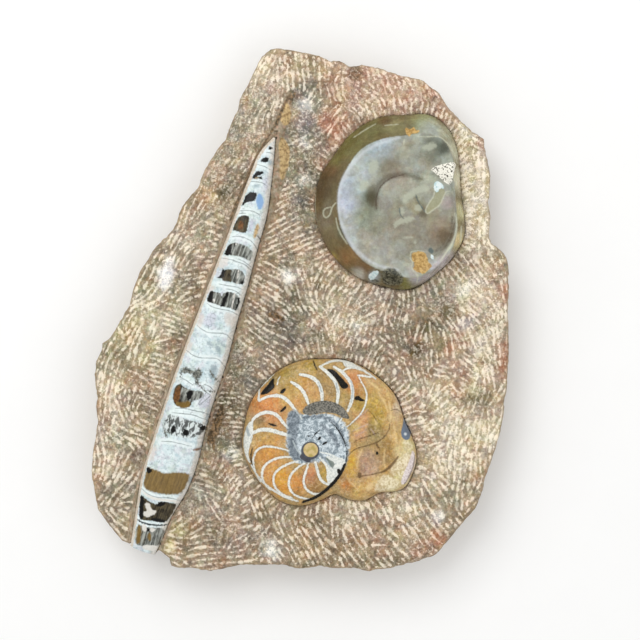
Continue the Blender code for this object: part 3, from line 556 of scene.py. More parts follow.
RIM_PATCHES_AND_DARK_REFLECTION = (
    # the dark brown patches on the left of the rim are a painted dark reflection on its steep polished side
    (324, 172, 15, 0.9, (92, 72, 46)), (320, 190, 13, 0.9, (86, 70, 48)),
    (350, 140, 16, 0.9, (106, 102, 56)), (336, 156, 10, 0.8, (110, 104, 58)),
    (331, 170, 6, 0.7, (110, 86, 58)), (372, 128, 14, 0.9, (110, 106, 64)),
    (395, 126, 12, 0.7, (140, 136, 96)), (385, 120, 6, 0.8, (104, 78, 50)),
    (425, 121, 14, 0.8, (158, 162, 118)), (430, 132, 12, 0.8, (170, 176, 168)),
    (412, 143, 8, 0.6, (150, 156, 152)), (322, 222, 13, 0.9, (128, 116, 96)),
    (330, 238, 11, 0.8, (122, 108, 80)), (348, 256, 11, 0.9, (136, 104, 66)),
    (364, 268, 10, 0.9, (118, 92, 62)), (332, 258, 5, 0.8, (176, 158, 88)),
    (330, 206, 8, 0.8, (112, 104, 84)), (344, 232, 6, 0.8, (98, 106, 88)),
    (392, 274, 10, 0.9, (72, 70, 56)), (408, 284, 8, 0.9, (124, 122, 68)),
    (416, 277, 8, 0.8, (176, 172, 182)), (430, 276, 10, 0.8, (186, 182, 186)),
    (446, 262, 12, 0.9, (188, 184, 190)), (458, 240, 10, 0.9, (218, 204, 156)),
    (460, 212, 10, 0.9, (198, 194, 150)), (458, 180, 12, 0.8, (214, 212, 190)),
    (455, 150, 12, 0.8, (196, 198, 176)), (446, 132, 9, 0.7, (176, 178, 150)),
    (374, 277, 6, 0.8, (170, 180, 186)), (358, 275, 7, 0.7, (196, 194, 186)),
)
UPPER_MARKS = {
    # painted shade: dark olive in and beside the seam's groove, with a few smaller dark marks elsewhere
    "dusk": ((
        ((368, 186), (377, 183), (377, 194), (375, 206), (369, 207), (366, 196)),
    ), (
        (5.0, ((376, 208), (375, 196), (378, 185), (387, 177), (400, 174), (412, 175), (422, 179))),
        (2.5, ((416, 193), (416, 199), (420, 206), (424, 209))), (7.0, ((422, 213.5), (423, 214))),
        (3.0, ((452, 217), (453, 227), (450, 238), (444, 248), (436, 251))),
        (2.0, ((385, 120.5), (394, 118))), (2.0, ((446, 262), (450, 258))),
        (3.0, ((340, 228), (344, 236), (350, 245))),
    )),
    "seam": ((), ((1.1, ((376.5, 209), (376, 200), (378, 190), (383, 183), (392, 177), (404, 174.5))),)),
    "olive": ((
        ((437, 189), (434, 197), (429, 203), (426, 210), (427, 213.5), (433, 210), (440, 205), (443, 198),
         (446, 191), (441, 187)),
    ), ()),
    "black": ((
        ((381, 274), (384, 269.5), (390, 267.5), (396, 270), (400, 274), (404, 279), (401, 285),
         (392, 285), (384, 284)),
    ), (
        (2.4, ((370, 279), (378, 281))),
    )),
    "teal": ((
        ((428, 249), (431, 247), (434, 250), (433.5, 254), (429.5, 253)),
    ), (
        (1.2, ((416, 195), (417, 200), (421, 206), (425, 212))),
        (1.0, ((399.5, 208), (400, 215), (404, 219))),
    )),
    # pale lines of the shell, two of them painted highlights along the shoulder
    "pale": ((), (
        (1.4, ((450, 191), (446, 191), (443, 198), (440, 205), (433, 210), (427, 214.5), (425, 210),
         (429, 203), (434, 196), (435, 189))),
        (1.5, ((335.6, 203), (331.5, 208), (330.5, 214), (326, 218), (323, 214), (324, 208), (331, 207))),
        # painted highlight down the left shoulder
        (1.4, ((336, 218), (337, 226), (341, 235), (347, 244))),
        (1.2, ((354, 136), (366, 128), (376, 122.5))), (1.2, ((411, 252), (418, 250.5), (427, 252))),
        (1.2, ((411, 252), (410, 258), (413, 262), (411, 267), (414, 272), (418, 277))),
        (1.0, ((316.5, 180), (314.6, 200), (315.4, 218), (320, 236))),
        # painted highlight down the right shoulder
        (2.0, ((455, 213), (457, 224), (455.4, 235), (451.5, 244), (446, 252), (440, 262))),
        (1.0, ((385, 124.6), (399, 123.4))),
        (1.3, ((418, 137), (428, 137.4), (439, 136.4), (447, 143), (454, 151), (457.5, 162))),
        (1.3, ((404, 140), (403.5, 145))), (1.3, ((417.5, 275), (417.5, 283))),
        (2.4, ((462, 226), (461.5, 242))),
    )),
    # painted highlight: a pale blue-white line along the shoulder
    "crest": ((), (
        (3.0, ((399, 138), (383, 143), (368, 149), (357, 159), (347, 171), (341, 184), (338.6, 196),
         (338.6, 210))),
        (2.4, ((339, 212), (342, 226), (348, 240), (357, 252), (370, 262), (384, 268), (398, 270))),
    )),
    "soft": ((
        ((402, 202), (403, 196), (408, 192), (416, 187), (424, 184), (430, 187), (429, 192), (420, 193),
         (411, 198), (406, 203)),
        ((400, 207), (404, 208), (404, 214), (401, 215)),
        ((393, 226), (394, 221), (402, 218), (412, 216), (416, 219), (410, 222), (400, 224), (396, 228)),
        ((416, 204), (422, 205), (421, 212), (414, 210)),
        ((372, 160), (379, 161), (377, 172), (370, 175), (368, 168)),
        ((362, 180), (369, 182), (364, 192), (358, 190)),
        ((420, 147), (434, 142), (438, 147), (428, 152)), ((430, 203), (436, 200), (433, 208)),
    ), (
        (1.6, ((403, 237.5), (412, 237.5))), (2.4, ((375, 247.4), (376, 247.6))),
        (2.4, ((414.5, 242), (415.5, 242))),
    )),
    "orange": ((
        ((412, 253), (418, 251), (425, 252), (428, 258), (428, 262), (432.5, 266), (428, 270),
         (424, 274.5), (417, 272), (412.5, 269), (415, 264), (411.5, 258)),
        ((405, 126.5), (410, 130), (414, 126), (415, 129.5), (420.5, 131), (416, 134), (411, 134),
         (409, 137.5), (406, 134)),
    ), ()),
    "speckle": ((
        ((429, 168), (448, 163), (457, 162.5), (454, 171), (451, 185), (446, 183), (438, 175)),
    ), ()),
    "white": ((
        ((434, 183), (437, 180.5), (443, 184), (444.5, 189), (440, 188), (437.5, 193), (434, 190)),
        ((430.5, 254), (433.5, 255), (434, 260), (431, 259)),
        ((368, 276), (372, 271.5), (379, 270.5), (378, 275), (372, 281)),
    ), ()),
}

# The lower ammonite's step, body chamber, colours and marks, in pixels of the photo
LOWER_STEP = (
    (341, 432), (346, 441), (348, 452), (346, 463), (341, 473), (334, 482), (325, 490), (315, 497),
    (303, 501),
)
LOWER_CHAMBER = (
    *LOWER_STEP, (305, 512), (360, 512), (430, 500), (430, 420), (395, 390), (362, 415), (350, 425),
)
LOWER_TONE = (184, 156, 106)
LOWER_PATCHES = (
    (268, 404, 16, 1.0, (218, 148, 86)), (256, 408, 8, 0.9, (190, 128, 70)),
    (272, 422, 13, 0.9, (200, 142, 96)), (259, 420, 6, 0.8, (120, 108, 82)),
    (266, 440, 15, 1.0, (192, 162, 104)), (279, 440, 6, 0.6, (206, 150, 90)),
    (268, 456, 15, 1.0, (206, 148, 78)), (256, 464, 7, 0.6, (168, 136, 80)),
    (272, 474, 14, 1.0, (212, 156, 96)), (284, 480, 13, 1.0, (216, 160, 66)),
    (280, 490, 8, 0.7, (206, 142, 58)), (298, 484, 11, 1.0, (206, 144, 78)),
    (296, 493, 6, 0.6, (150, 112, 56)), (312, 476, 10, 1.0, (190, 132, 96)),
    (316, 489, 8, 0.9, (148, 112, 66)), (324, 474, 8, 1.0, (178, 150, 80)),
    (294, 394, 15, 0.9, (208, 170, 104)), (298, 406, 8, 0.6, (214, 156, 96)),
    (284, 376, 14, 1.0, (166, 142, 74)), (272, 376, 8, 0.7, (150, 130, 84)),
    (292, 384, 8, 0.6, (188, 156, 84)), (312, 366, 10, 1.0, (176, 150, 72)),
    (306, 382, 8, 0.7, (190, 142, 72)), (314, 392, 9, 0.9, (204, 160, 104)),
    (330, 390, 10, 1.0, (168, 140, 96)), (322, 376, 6, 0.7, (150, 124, 70)),
    (345, 394, 9, 1.0, (174, 150, 90)), (356, 382, 13, 1.0, (204, 142, 90)),
    (354, 376, 7, 0.8, (210, 150, 104)), (360, 392, 6, 0.8, (176, 118, 62)),
    (358, 407, 9, 1.0, (176, 148, 76)), (352, 416, 6, 0.7, (190, 156, 110)),
    (374, 392, 14, 0.9, (196, 166, 104)), (378, 408, 16, 0.9, (186, 156, 78)),
    (384, 388, 10, 0.7, (208, 174, 118)), (392, 400, 10, 0.8, (204, 168, 110)),
    (376, 420, 10, 0.9, (178, 150, 72)), (363, 419, 8, 0.9, (210, 158, 116)),
    (362, 433, 8, 0.9, (212, 156, 124)), (355, 428, 5, 0.7, (200, 176, 110)),
    (372, 432, 10, 0.7, (150, 138, 92)), (380, 438, 8, 0.7, (146, 128, 88)),
    (366, 447, 8, 0.7, (168, 146, 96)), (354, 456, 9, 0.9, (206, 166, 86)),
    (352, 470, 9, 1.0, (200, 160, 84)), (368, 460, 12, 1.0, (172, 142, 124)),
    (378, 462, 10, 0.8, (176, 148, 116)), (366, 474, 8, 0.8, (166, 134, 126)),
    (388, 448, 10, 0.9, (178, 144, 84)), (390, 460, 8, 0.7, (172, 138, 86)),
    (396, 440, 9, 0.9, (206, 172, 112)), (392, 424, 8, 0.7, (190, 158, 104)),
    (398, 416, 8, 0.8, (212, 186, 146)), (404, 450, 10, 0.9, (204, 184, 128)),
    (408, 468, 9, 0.9, (224, 198, 180)), (402, 476, 9, 0.8, (210, 190, 132)),
    (346, 486, 7, 0.9, (186, 122, 62)), (344, 480, 5, 0.7, (160, 112, 62)),
    (364, 486, 10, 0.9, (206, 170, 112)), (376, 482, 8, 0.8, (214, 182, 128)),
    (358, 494, 6, 0.6, (190, 160, 90)), (372, 470, 6, 0.6, (190, 160, 140)),
    (386, 470, 7, 0.7, (186, 152, 96)), (246, 440, 6, 0.8, (176, 160, 130)),
    (252, 415, 6, 0.6, (190, 150, 110)), (248, 465, 6, 0.6, (170, 150, 120)),
    (388, 446, 7, 0.8, (146, 116, 66)), (384, 458, 5, 0.7, (150, 124, 82)),
    (351, 462, 6, 0.8, (214, 176, 74)), (406, 455, 10, 0.9, (222, 204, 164)),
    (410, 446, 7, 0.9, (214, 206, 160)), (403, 398, 7, 0.8, (206, 184, 160)),
    (398, 408, 5, 0.7, (210, 186, 170)), (404, 482, 7, 0.9, (226, 214, 180)),
    (392, 486, 9, 0.9, (230, 218, 172)), (400, 474, 5, 0.8, (198, 190, 112)),
    (414, 466, 6, 0.9, (222, 208, 198)), (372, 380, 8, 0.6, (214, 180, 136)),
    (388, 392, 6, 0.5, (222, 184, 130)), (340, 496, 8, 0.6, (170, 150, 110)),
)
SEPTUM_LINES = (
    (2.3, ((259, 388), (258.5, 396), (258, 402), (262, 399), (270, 396), (278, 395), (284, 397),
     (290, 402), (294, 408), (299, 415), (302, 419))),
    (3.1, ((268, 396.5), (278, 395.5), (284, 398), (290, 403), (295, 410))),
    (3.3, ((251, 423), (254, 418), (260, 414), (267, 412), (274, 413.5), (279, 417), (284, 424),
     (288, 428))),
    (3.9, ((252, 434), (257, 431), (263, 429.5), (270, 430), (277, 432), (284, 434), (290, 436))),
    (2.0, ((290, 451), (283, 449), (276, 447.5), (269, 446.5), (262, 447), (256, 451), (253, 458),
     (253, 466), (256, 476), (260, 483))),
    (2.3, ((292, 457), (283, 457), (274, 459), (266, 464), (262, 470), (261.5, 478), (264, 485),
     (270, 491))),
    (2.2, ((298, 461), (290, 463), (282, 467), (275.5, 472), (273, 478), (273.5, 485), (277, 491),
     (284, 496), (292, 498.5))),
    (2.2, ((305, 463), (298, 467), (292, 473), (289, 479), (288.5, 486), (291, 492), (296, 496.5),
     (304, 499), (311, 500))),
    (2.3, ((309, 461), (306.5, 470), (304, 477), (303.5, 484), (306.5, 490), (312, 494), (318, 495),
     (324, 492), (330, 486))),
    (2.7, ((315, 461), (317, 469), (319, 476), (321, 480.5), (326, 484), (331, 485))),
    (2.2, ((320, 458), (326, 464), (328, 472), (328, 480))),
    (3.3, ((291, 382), (298, 386), (303, 391), (306, 397), (308.5, 404))),
    (3.6, ((300, 374.5), (309, 376), (316, 380), (320, 386), (322, 393), (322, 402))),
    (3.6, ((320, 367), (327, 372), (333, 378), (337, 385), (338.5, 393), (337, 403))),
    (3.3, ((334, 367), (341, 371), (347, 377), (351.5, 384), (353, 392), (352, 401), (347.5, 411))),
    (1.6, ((359, 377), (362, 383), (366, 390), (367, 396), (366, 403), (363, 411), (357, 418),
     (351, 423.5), (347, 427))),
    (2.3, ((320, 367), (325, 364), (331, 361.5), (338, 360.5), (346, 361.5), (353, 364.5), (361, 369),
     (369, 374), (376, 379))),
    (1.9, ((343, 371), (347, 368.5), (354, 367.5), (362, 370.5))),
    (2.0, ((358, 375.5), (364, 376), (372, 377.5))),
    (2.3, ((251, 466), (257, 477), (264, 485), (275, 492.5), (286, 498.5), (298, 502))),
    (1.2, ((259, 389), (263, 385), (269, 379), (274, 374))),
    (1.1, ((277, 385), (278, 380), (280, 376.5))), (1.8, ((293, 441), (296, 448), (301, 455))),
    (1.4, ((320, 452), (330, 454), (338, 458))), (1.1, ((342, 418), (338, 424))),
    (1.1, ((346, 424), (341, 429))), (1.1, ((334, 416), (336, 421))),
)
LOWER_MARKS = {
    "wall": (
        (
            ((342, 361), (350, 362), (358, 367), (368, 373), (358, 369.5), (350, 367), (345, 367)),
            ((247, 424), (253, 420), (253, 430), (252, 440), (249, 447), (248, 456), (251, 466),
             (246, 460), (243, 450), (243, 438)),
            ((325, 455), (333, 457), (345, 458), (345, 466), (339, 476), (330, 485), (326, 480),
             (328, 468)),
        ),
        SEPTUM_LINES,
    ),
    "heart": ((
        ((288, 411), (296, 410), (301, 414), (312, 414.5), (326, 413), (338, 416), (346, 424), (349, 436),
         (350, 448), (347, 462), (343, 470), (336, 476), (330, 466), (322, 461), (316, 462), (305, 464),
         (297, 463), (290, 458), (287, 450), (286, 436), (286, 424)),
    ), ()),
    "shade": ((
        ((288, 410), (296, 409), (301, 415), (299, 424), (298, 432), (296, 444), (303, 460), (292, 459),
         (288, 450), (287, 432)),
    ), (
        (3.0, ((302, 418), (313, 416), (325, 417), (335, 422), (342, 434), (344, 446))),
        (5.0, ((298, 456), (306, 461), (314, 460))), (3.4, ((323, 457), (327, 460), (331, 466))),
        (2.4, ((280, 424), (288, 430))), (3.0, ((246, 428), (249, 436))),
        (1.3, ((351, 380), (353.4, 390), (351, 402))), (1.3, ((336, 383), (338.6, 393))),
        (4.0, ((322, 425), (332, 434), (338, 446))), (1.4, ((318, 382), (322, 392))),
    )),
    "crescent": ((
        ((302, 412), (304, 407.5), (310, 403.5), (318, 401), (328, 400.5), (338, 403.5), (345, 409),
         (350.5, 419), (344, 418.5), (338, 414.5), (330, 412.5), (322, 412.5), (314, 414.5), (306, 415)),
    ), ()),
    "hollow": ((((324, 456), (329, 459), (335, 463), (333, 469), (331, 467), (328, 461)),), ()),
    "lilac": ((), (
        (1.3, ((353, 431), (360, 427.5), (368, 424))), (1.0, ((356, 436), (366, 430))),
        (1.0, ((352, 422), (360, 417), (368, 409))), (1.2, ((396, 396), (402, 408), (408, 416))),
        (1.0, ((371, 429), (375, 435))),
    )),
    "ridge": ((
        ((374, 419), (377, 420), (378, 425), (375, 426)),
        ((365, 488), (372, 482), (374, 487), (368, 493)),
    ), (
        (2.2, ((389, 402), (391, 411), (390.5, 421))), (1.4, ((385, 450), (383.5, 460), (386, 470))),
        (1.6, ((393, 424), (396, 434), (397, 444))), (1.2, ((347, 478), (352, 484), (358, 490))),
        (2.0, ((379, 394), (385, 402), (388, 412))), (1.6, ((372, 384), (380, 390))),
        (1.4, ((362, 450), (358, 458), (357, 468))), (1.2, ((400, 446), (398, 456), (392, 466))),
    )),
    "black": ((
        ((326, 369), (334, 369.5), (339, 375), (344, 380.5), (349.5, 386.5), (346, 388.5), (342, 389),
         (339, 384), (336, 379), (331, 373.5)),
        ((354, 397.5), (358, 395.5), (361, 398), (365.5, 401), (362, 401.5), (358, 400), (355, 400.5)),
        ((259.5, 395.5), (262, 391), (267, 386), (271, 380), (274, 377.5), (273.5, 384), (275, 387),
         (271, 391), (266, 394.5)),
        ((279.5, 393), (282, 389.5), (286, 388), (285, 391.5), (282, 394.5)),
        ((279.5, 411.5), (283, 408), (286, 405.5), (286.5, 408), (282, 412.5)),
        ((267, 423), (271, 423.5), (277.5, 425.5), (276, 426.5), (271, 425.8)),
        ((336.5, 469), (340, 468.5), (341, 473), (338, 475)),
        ((375.5, 451.5), (378, 451.5), (379, 454.5), (376, 455)),
        ((317.5, 439), (319.5, 436.5), (321.5, 436.5), (320, 440), (318, 440.5)),
    ), (
        (1.3, ((331, 422), (337, 428), (342, 436), (346, 445), (347, 453), (346, 462))),
        # painted shadow: the wide black line along the step, in the gap under the raised coil
        (3.4, ((345, 464), (340, 475), (333, 484), (324, 492.5), (314, 499), (303, 503))),
        (1.9, ((322.5, 444.5), (327, 442))), (1.2, ((312.5, 438), (315, 434), (319, 431))),
        (2.0, ((308.4, 436), (308.8, 436))), (1.1, ((313, 361), (315, 366), (317, 370))),
        (1.2, ((252, 449), (250, 458), (252, 466))),
    )),
    "crack": ((
        ((358, 472), (362, 473), (361, 479), (357.5, 478)),
        ((374.5, 442.5), (378, 444), (380.5, 450), (377.5, 448)),
    ), (
        (1.3, ((348, 456), (352, 451), (358, 448), (366, 446), (376, 443), (384, 437.5), (389, 430.5),
         (390, 424))),
        (1.2, ((355, 441), (362, 438), (369, 436), (378, 433))),
        (1.2, ((376, 444), (378, 447), (380, 450))),
        (1.2, ((357, 477), (364, 476), (373, 474.5), (382, 472))),
        (2.8, ((382, 472.5), (388, 469), (393, 464), (398, 457))),
        (1.1, ((400, 400), (401, 408), (405, 418))), (0.9, ((401, 404), (405, 412), (408, 418))),
        (1.0, ((391, 411), (396, 409), (402, 413))),
        (1.2, ((415.5, 456), (414, 468), (409.5, 478), (405, 485))),
        (1.0, ((368, 410), (374, 416), (377, 422))), (0.9, ((368, 428), (371, 433))),
    )),
    "ring": ((), ((18.0, ((310.2, 450.4), (310.6, 450.4))), (6.0, ((303, 456.5), (308, 459.5))))),
    "hub": ((), ((14.0, ((310.5, 449.8), (310.9, 449.8))),)),
    "rough": ((
        ((376, 486), (381, 477), (388, 475), (398, 481), (401, 486), (392, 490), (382, 493), (375, 492)),
        ((392, 466), (400, 458), (408, 452), (411, 458), (406, 470), (402, 478), (396, 476), (390, 472)),
    ), (
        (2.0, ((396, 404), (401, 414))), (4.4, ((406, 443), (410, 447))),
    )),
    "strip": ((
        ((413, 450), (416, 456), (415.5, 464), (412, 475), (405, 486), (401, 484), (403, 476), (408, 466),
         (411, 456)),
    ), (
        (1.5, ((403, 406), (407, 416))),
    )),
    "droplet": ((DROPLET,), ()),
    # painted highlight: a white dot on the droplet
    "dot": ((), ((2.6, ((405.6, 434.4), (405.9, 434.6))),)),
}


def lengths_along(line):
    """How far along a line each of its places is."""
    return np.concatenate([[0.0], np.cumsum(np.hypot(*np.diff(line, axis=0).T))])


def steps_at(angles):
    """A step of one in each direction."""
    return np.stack([np.cos(angles), np.sin(angles)], axis=1)


def polar(points, centre):
    """Distance and direction of each point from a centre."""
    ray = points - centre
    return np.hypot(ray[:, 0], ray[:, 1]), np.arctan2(ray[:, 1], ray[:, 0])


def nearest_on(points, start, stop):
    """Distance of each point from a straight stretch, and the share of the way where it is nearest."""
    along = stop - start
    share = np.clip((points - start) @ along / (along @ along), 0.0, 1.0)
    gap = points - start - share[:, None] * along
    return np.hypot(gap[:, 0], gap[:, 1]), share


def distance_to(points, line, closed=False):
    """Distance of each point from a line through the given places."""
    ends = np.array(line, float)
    starts = ends if closed else ends[:-1]
    stops = np.roll(ends, -1, axis=0) if closed else ends[1:]
    best = np.full(len(points), np.inf)
    for start, stop in zip(starts, stops):
        best = np.minimum(best, nearest_on(points, start, stop)[0])
    return best


def inside(points, outline):
    """Which points lie inside a closed outline."""
    x, y = points[:, 0], points[:, 1]
    found = np.zeros(len(points), bool)
    corners = np.array(outline, float)
    for (ax, ay), (bx, by) in zip(corners, np.roll(corners, -1, axis=0)):
        if ay == by:
            continue
        crosses = (ay > y) != (by > y)
        found ^= crosses & (x < (bx - ax) * (y - ay) / (by - ay) + ax)
    return found


def depth_in(points, outline):
    """Signed distance from a closed outline, positive inside."""
    return distance_to(points, outline, True) * np.where(inside(points, outline), 1.0, -1.0)


def ease(share):
    """A smooth step from 0 to 1."""
    share = np.clip(share, 0.0, 1.0)
    return share * share * (3.0 - 2.0 * share)


def wobble(points, size, layer=0.0):
    """Smooth noise at each place, about -1 to 1, with features of a size in millimetres."""
    return np.array([noise.noise(Vector((x / size, y / size, layer))) for x, y in points])


def stirred(points, size, layers):
    """Smooth noise in both directions at each place."""
    return np.stack([wobble(points, size, layer) for layer in layers], axis=1)


def smooth_profile(pairs):
    """A smooth curve through pairs of share and height, as a function from share to height."""
    shares, heights = np.array(pairs, float).T
    slopes = np.gradient(heights, shares)

    def height(share):
        share = np.clip(share, shares[0], shares[-1])
        right = np.clip(np.searchsorted(shares, share), 1, len(shares) - 1)
        left = right - 1
        width = shares[right] - shares[left]
        t = (share - shares[left]) / width
        return (
            heights[left] * (1 + 2 * t) * (1 - t) ** 2
            + slopes[left] * width * t * (1 - t) ** 2
            + heights[right] * t * t * (3 - 2 * t)
            + slopes[right] * width * t * t * (t - 1)
        )

    return height


def polar_curve(outline, centre):
    """A closed smooth curve round a centre, as a function from an angle to a radius."""
    radii, angles = polar(np.array(outline, float), centre)
    order = np.argsort(angles)
    angles, radii = angles[order], radii[order]
    rounds = np.concatenate([angles - TURN, angles, angles + TURN])
    curve = smooth_profile(np.column_stack([rounds, np.tile(radii, 3)]))
    return lambda angle: curve((angle + math.pi) % TURN - math.pi)


def ring_places(outline, centre, count=RING_PLACES):
    """Places along a smooth closed curve round a centre."""
    angles = np.linspace(-math.pi, math.pi, count, endpoint=False)
    return centre + steps_at(angles) * polar_curve(outline, centre)(angles)[:, None]


def resample(line, spacing, closed=True):
    """Evenly spaced places along a line."""
    corners = np.array(line, float)
    if closed:
        corners = np.vstack([corners, corners[:1]])
    reach = lengths_along(corners)
    count = max(3, round(reach[-1] / spacing))
    places = np.linspace(0.0, reach[-1], count, endpoint=not closed)
    return np.stack([np.interp(places, reach, column) for column in corners.T], axis=1)


def widened(outline, gap):
    """A closed outline moved outwards by a gap."""
    corners = np.array(outline, float)
    ahead = np.roll(corners, -1, axis=0) - np.roll(corners, 1, axis=0)
    normal = np.stack([ahead[:, 1], -ahead[:, 0]], axis=1)
    normal /= np.hypot(normal[:, 0], normal[:, 1])[:, None]
    area = np.sum(corners[:, 0] * np.roll(corners[:, 1], -1) - corners[:, 1] * np.roll(corners[:, 0], -1))
    return corners + normal * gap * (1.0 if area > 0 else -1.0)


def orthoceras_edges(stations):
    """Left edge, right edge and rise of the orthoceras at evenly spaced stations."""
    rows = np.array([(*left, *right, rise) for left, right, rise in ORTHOCERAS_SECTIONS])
    reach = lengths_along((rows[:, 0:2] + rows[:, 2:4]) / 2)
    places = np.linspace(0.0, reach[-1], stations)
    columns = np.array([smooth_profile(np.column_stack([reach, column]))(places) for column in rows.T]).T
    return columns[:, 0:2], columns[:, 2:4], columns[:, 4]


def orthoceras_outline(stations=30):
    """The orthoceras seen from above, down its left edge and back up its right one."""
    left, right, _ = orthoceras_edges(stations)
    return np.vstack([left, right[::-1]])


def orthoceras_pocket_outline(stations=44, run_out=10.0):
    """The orthoceras seen from above, carried on past the slab's edge."""
    left, right, _ = orthoceras_edges(stations)
    run = (left[-1] + right[-1] - left[-2] - right[-2]) / 2
    run *= run_out / np.hypot(*run)
    return np.vstack([left, left[-1:] + run, right[-1:] + run, right[::-1]])


def face_height(points):
    """Height of the rock's face at each place, in millimetres, without the chisel marks."""
    height = FACE_LEVEL + sum(rise * wobble(points, size, layer) for rise, size, layer in GROUND_WAVES)
    slope = 1.0 - distance_to(points, SHOULDER_LINE) / SHOULDER_WIDTH
    height -= SHOULDER_DROP * np.clip(slope, 0.0, 1.0) ** 2
    height -= EDGE_DROP * np.clip(1.0 - distance_to(points, SLAB_OUTLINE, True) / EDGE_WIDTH, 0.0, 1.0) ** 2
    for outline in (UPPER_OUTLINE, LOWER_OUTLINE):
        height -= MOAT_DEPTH * ease(1.0 - distance_to(points, outline, True) / MOAT_WIDTH)
    shell = orthoceras_outline()
    from_strip = distance_to(points, STRIP_OUTLINE, True)
    from_shell = np.where(inside(points, shell), 0.0, distance_to(points, shell, True))
    climb = from_strip / (from_strip + from_shell + 1e-6)
    crest = STRIP_CREST[0] * np.clip(from_strip / STRIP_CREST[1], 0.0, 1.0)
    rise = STRIP_RISE * ease(np.maximum(climb, crest))
    return height + np.where(inside(points, STRIP_OUTLINE), rise, 0.0)


class Field:
    """Values on a fine grid over the face, read at any place."""

    def __init__(self, cell=GRID):
        self.cell = cell
        self.shape = (round(FIELD_SIZE[1] / cell), round(FIELD_SIZE[0] / cell))

    def places(self):
        """The middle of every cell."""
        y, x = np.mgrid[0 : self.shape[0], 0 : self.shape[1]] + 0.5
        return np.stack([x.ravel(), y.ravel()], axis=1) * self.cell + FIELD_LOW

    def cells(self, points):
        """Row and column of each place."""
        spots = (np.atleast_2d(points) - FIELD_LOW) / self.cell
        column = np.clip(spots[:, 0].astype(int), 0, self.shape[1] - 1)
        row = np.clip(spots[:, 1].astype(int), 0, self.shape[0] - 1)
        return row, column

    def read(self, values, points):
        """Values between the cells' middles."""
        x = np.clip((points[:, 0] - FIELD_LOW[0]) / self.cell - 0.5, 0, self.shape[1] - 1.001)
        y = np.clip((points[:, 1] - FIELD_LOW[1]) / self.cell - 0.5, 0, self.shape[0] - 1.001)
        i, j = x.astype(int), y.astype(int)
        u, v = x - i, y - j
        low = values[j, i] * (1 - u) + values[j, i + 1] * u
        high = values[j + 1, i] * (1 - u) + values[j + 1, i + 1] * u
        return low * (1 - v) + high * v


def grit_at(points):
    """How gritty the ground is at each place, 0 to 1."""
    grit = np.zeros(len(points))
    moved = points + 3.0 * stirred(points, 6, (61.0, 67.0))
    for x, y, radius, strength in GRIT_PATCHES:
        grit = np.maximum(grit, strength * np.exp(-from_patch(moved, x, y, radius) ** 4))
    return np.clip(grit + 0.35 * np.clip(wobble(points, 9, 63.0) - 0.1, 0.0, 1.0), 0.0, 1.0)


def mark_directions(coarse, rng):
    """Which way the chisel marks run over the face, and the row that each place belongs to."""
    places = coarse.places()
    moved = places + 2.4 * stirred(places, 6, (2.0, 12.0))
    first = np.array(MARK_DIRECTIONS, float)
    more = np.repeat(first, 2, axis=0)
    more[:, :2] += rng.normal(0.0, PATCH_SCATTER[0], (len(more), 2))
    more[:, 2] += rng.normal(0.0, PATCH_SCATTER[1], len(more))
    spots = np.vstack([first, more])
    away = np.hypot(moved[:, None, 0] - spots[:, 0], moved[:, None, 1] - spots[:, 1])
    patch = away.argmin(axis=1)
    weight = np.exp((away.min(axis=1)[:, None] - away) / PATCH_BLEND)
    pull = weight @ steps_at(np.radians(spots[:, 2]) * 2)
    pull /= np.hypot(pull[:, 0], pull[:, 1])[:, None] + 1e-9
    own = np.radians(spots[patch, 2])
    row = np.floor((places[:, 0] * np.cos(own) + places[:, 1] * np.sin(own)) / ROW_LENGTH + patch * 0.618)
    row += patch * 1000.0
    for outline, centre in ((UPPER_OUTLINE, UPPER_CENTRE), (LOWER_OUTLINE, LOWER_CENTRE)):
        near = distance_to(places, outline, True) + 2.0 * wobble(places, 12, 5.0)
        share = ease(2.2 * (1.0 - near / RADIAL_REACH))[:, None]
        pull = pull * (1 - share) + share * steps_at(polar(places, centre)[1] * 2)
        row = np.where(share[:, 0] > 0.5, np.floor(near / ROW_DEPTH), row)
    angle = np.arctan2(pull[:, 1], pull[:, 0]) / 2 + 0.2 * wobble(places, 6, 2.0)
    return [values.reshape(coarse.shape) for values in (np.cos(angle), np.sin(angle), row)]


def coarseness(place):
    """How large the marks are at a place, 1 being usual."""
    size = 1.0
    for x, y, radius, more in LARGE_MARKS:
        size += more * math.exp(-from_patch(place, x, y, radius) ** 4)
    return size


def window(row, column, radius):
    """Slices of the cells round a cell."""
    return [slice(max(0, middle - radius), middle + radius + 1) for middle in (row, column)]


def stamp(target, row, column, radius):
    """Mark the cells within a radius of a cell as taken."""
    rows, columns = window(row, column, radius)
    y, x = np.ogrid[rows.start - row : rows.stop - row, columns.start - column : columns.stop - column]
    block = target[rows, columns]
    block |= (x * x + y * y <= radius * radius)[: block.shape[0], : block.shape[1]]


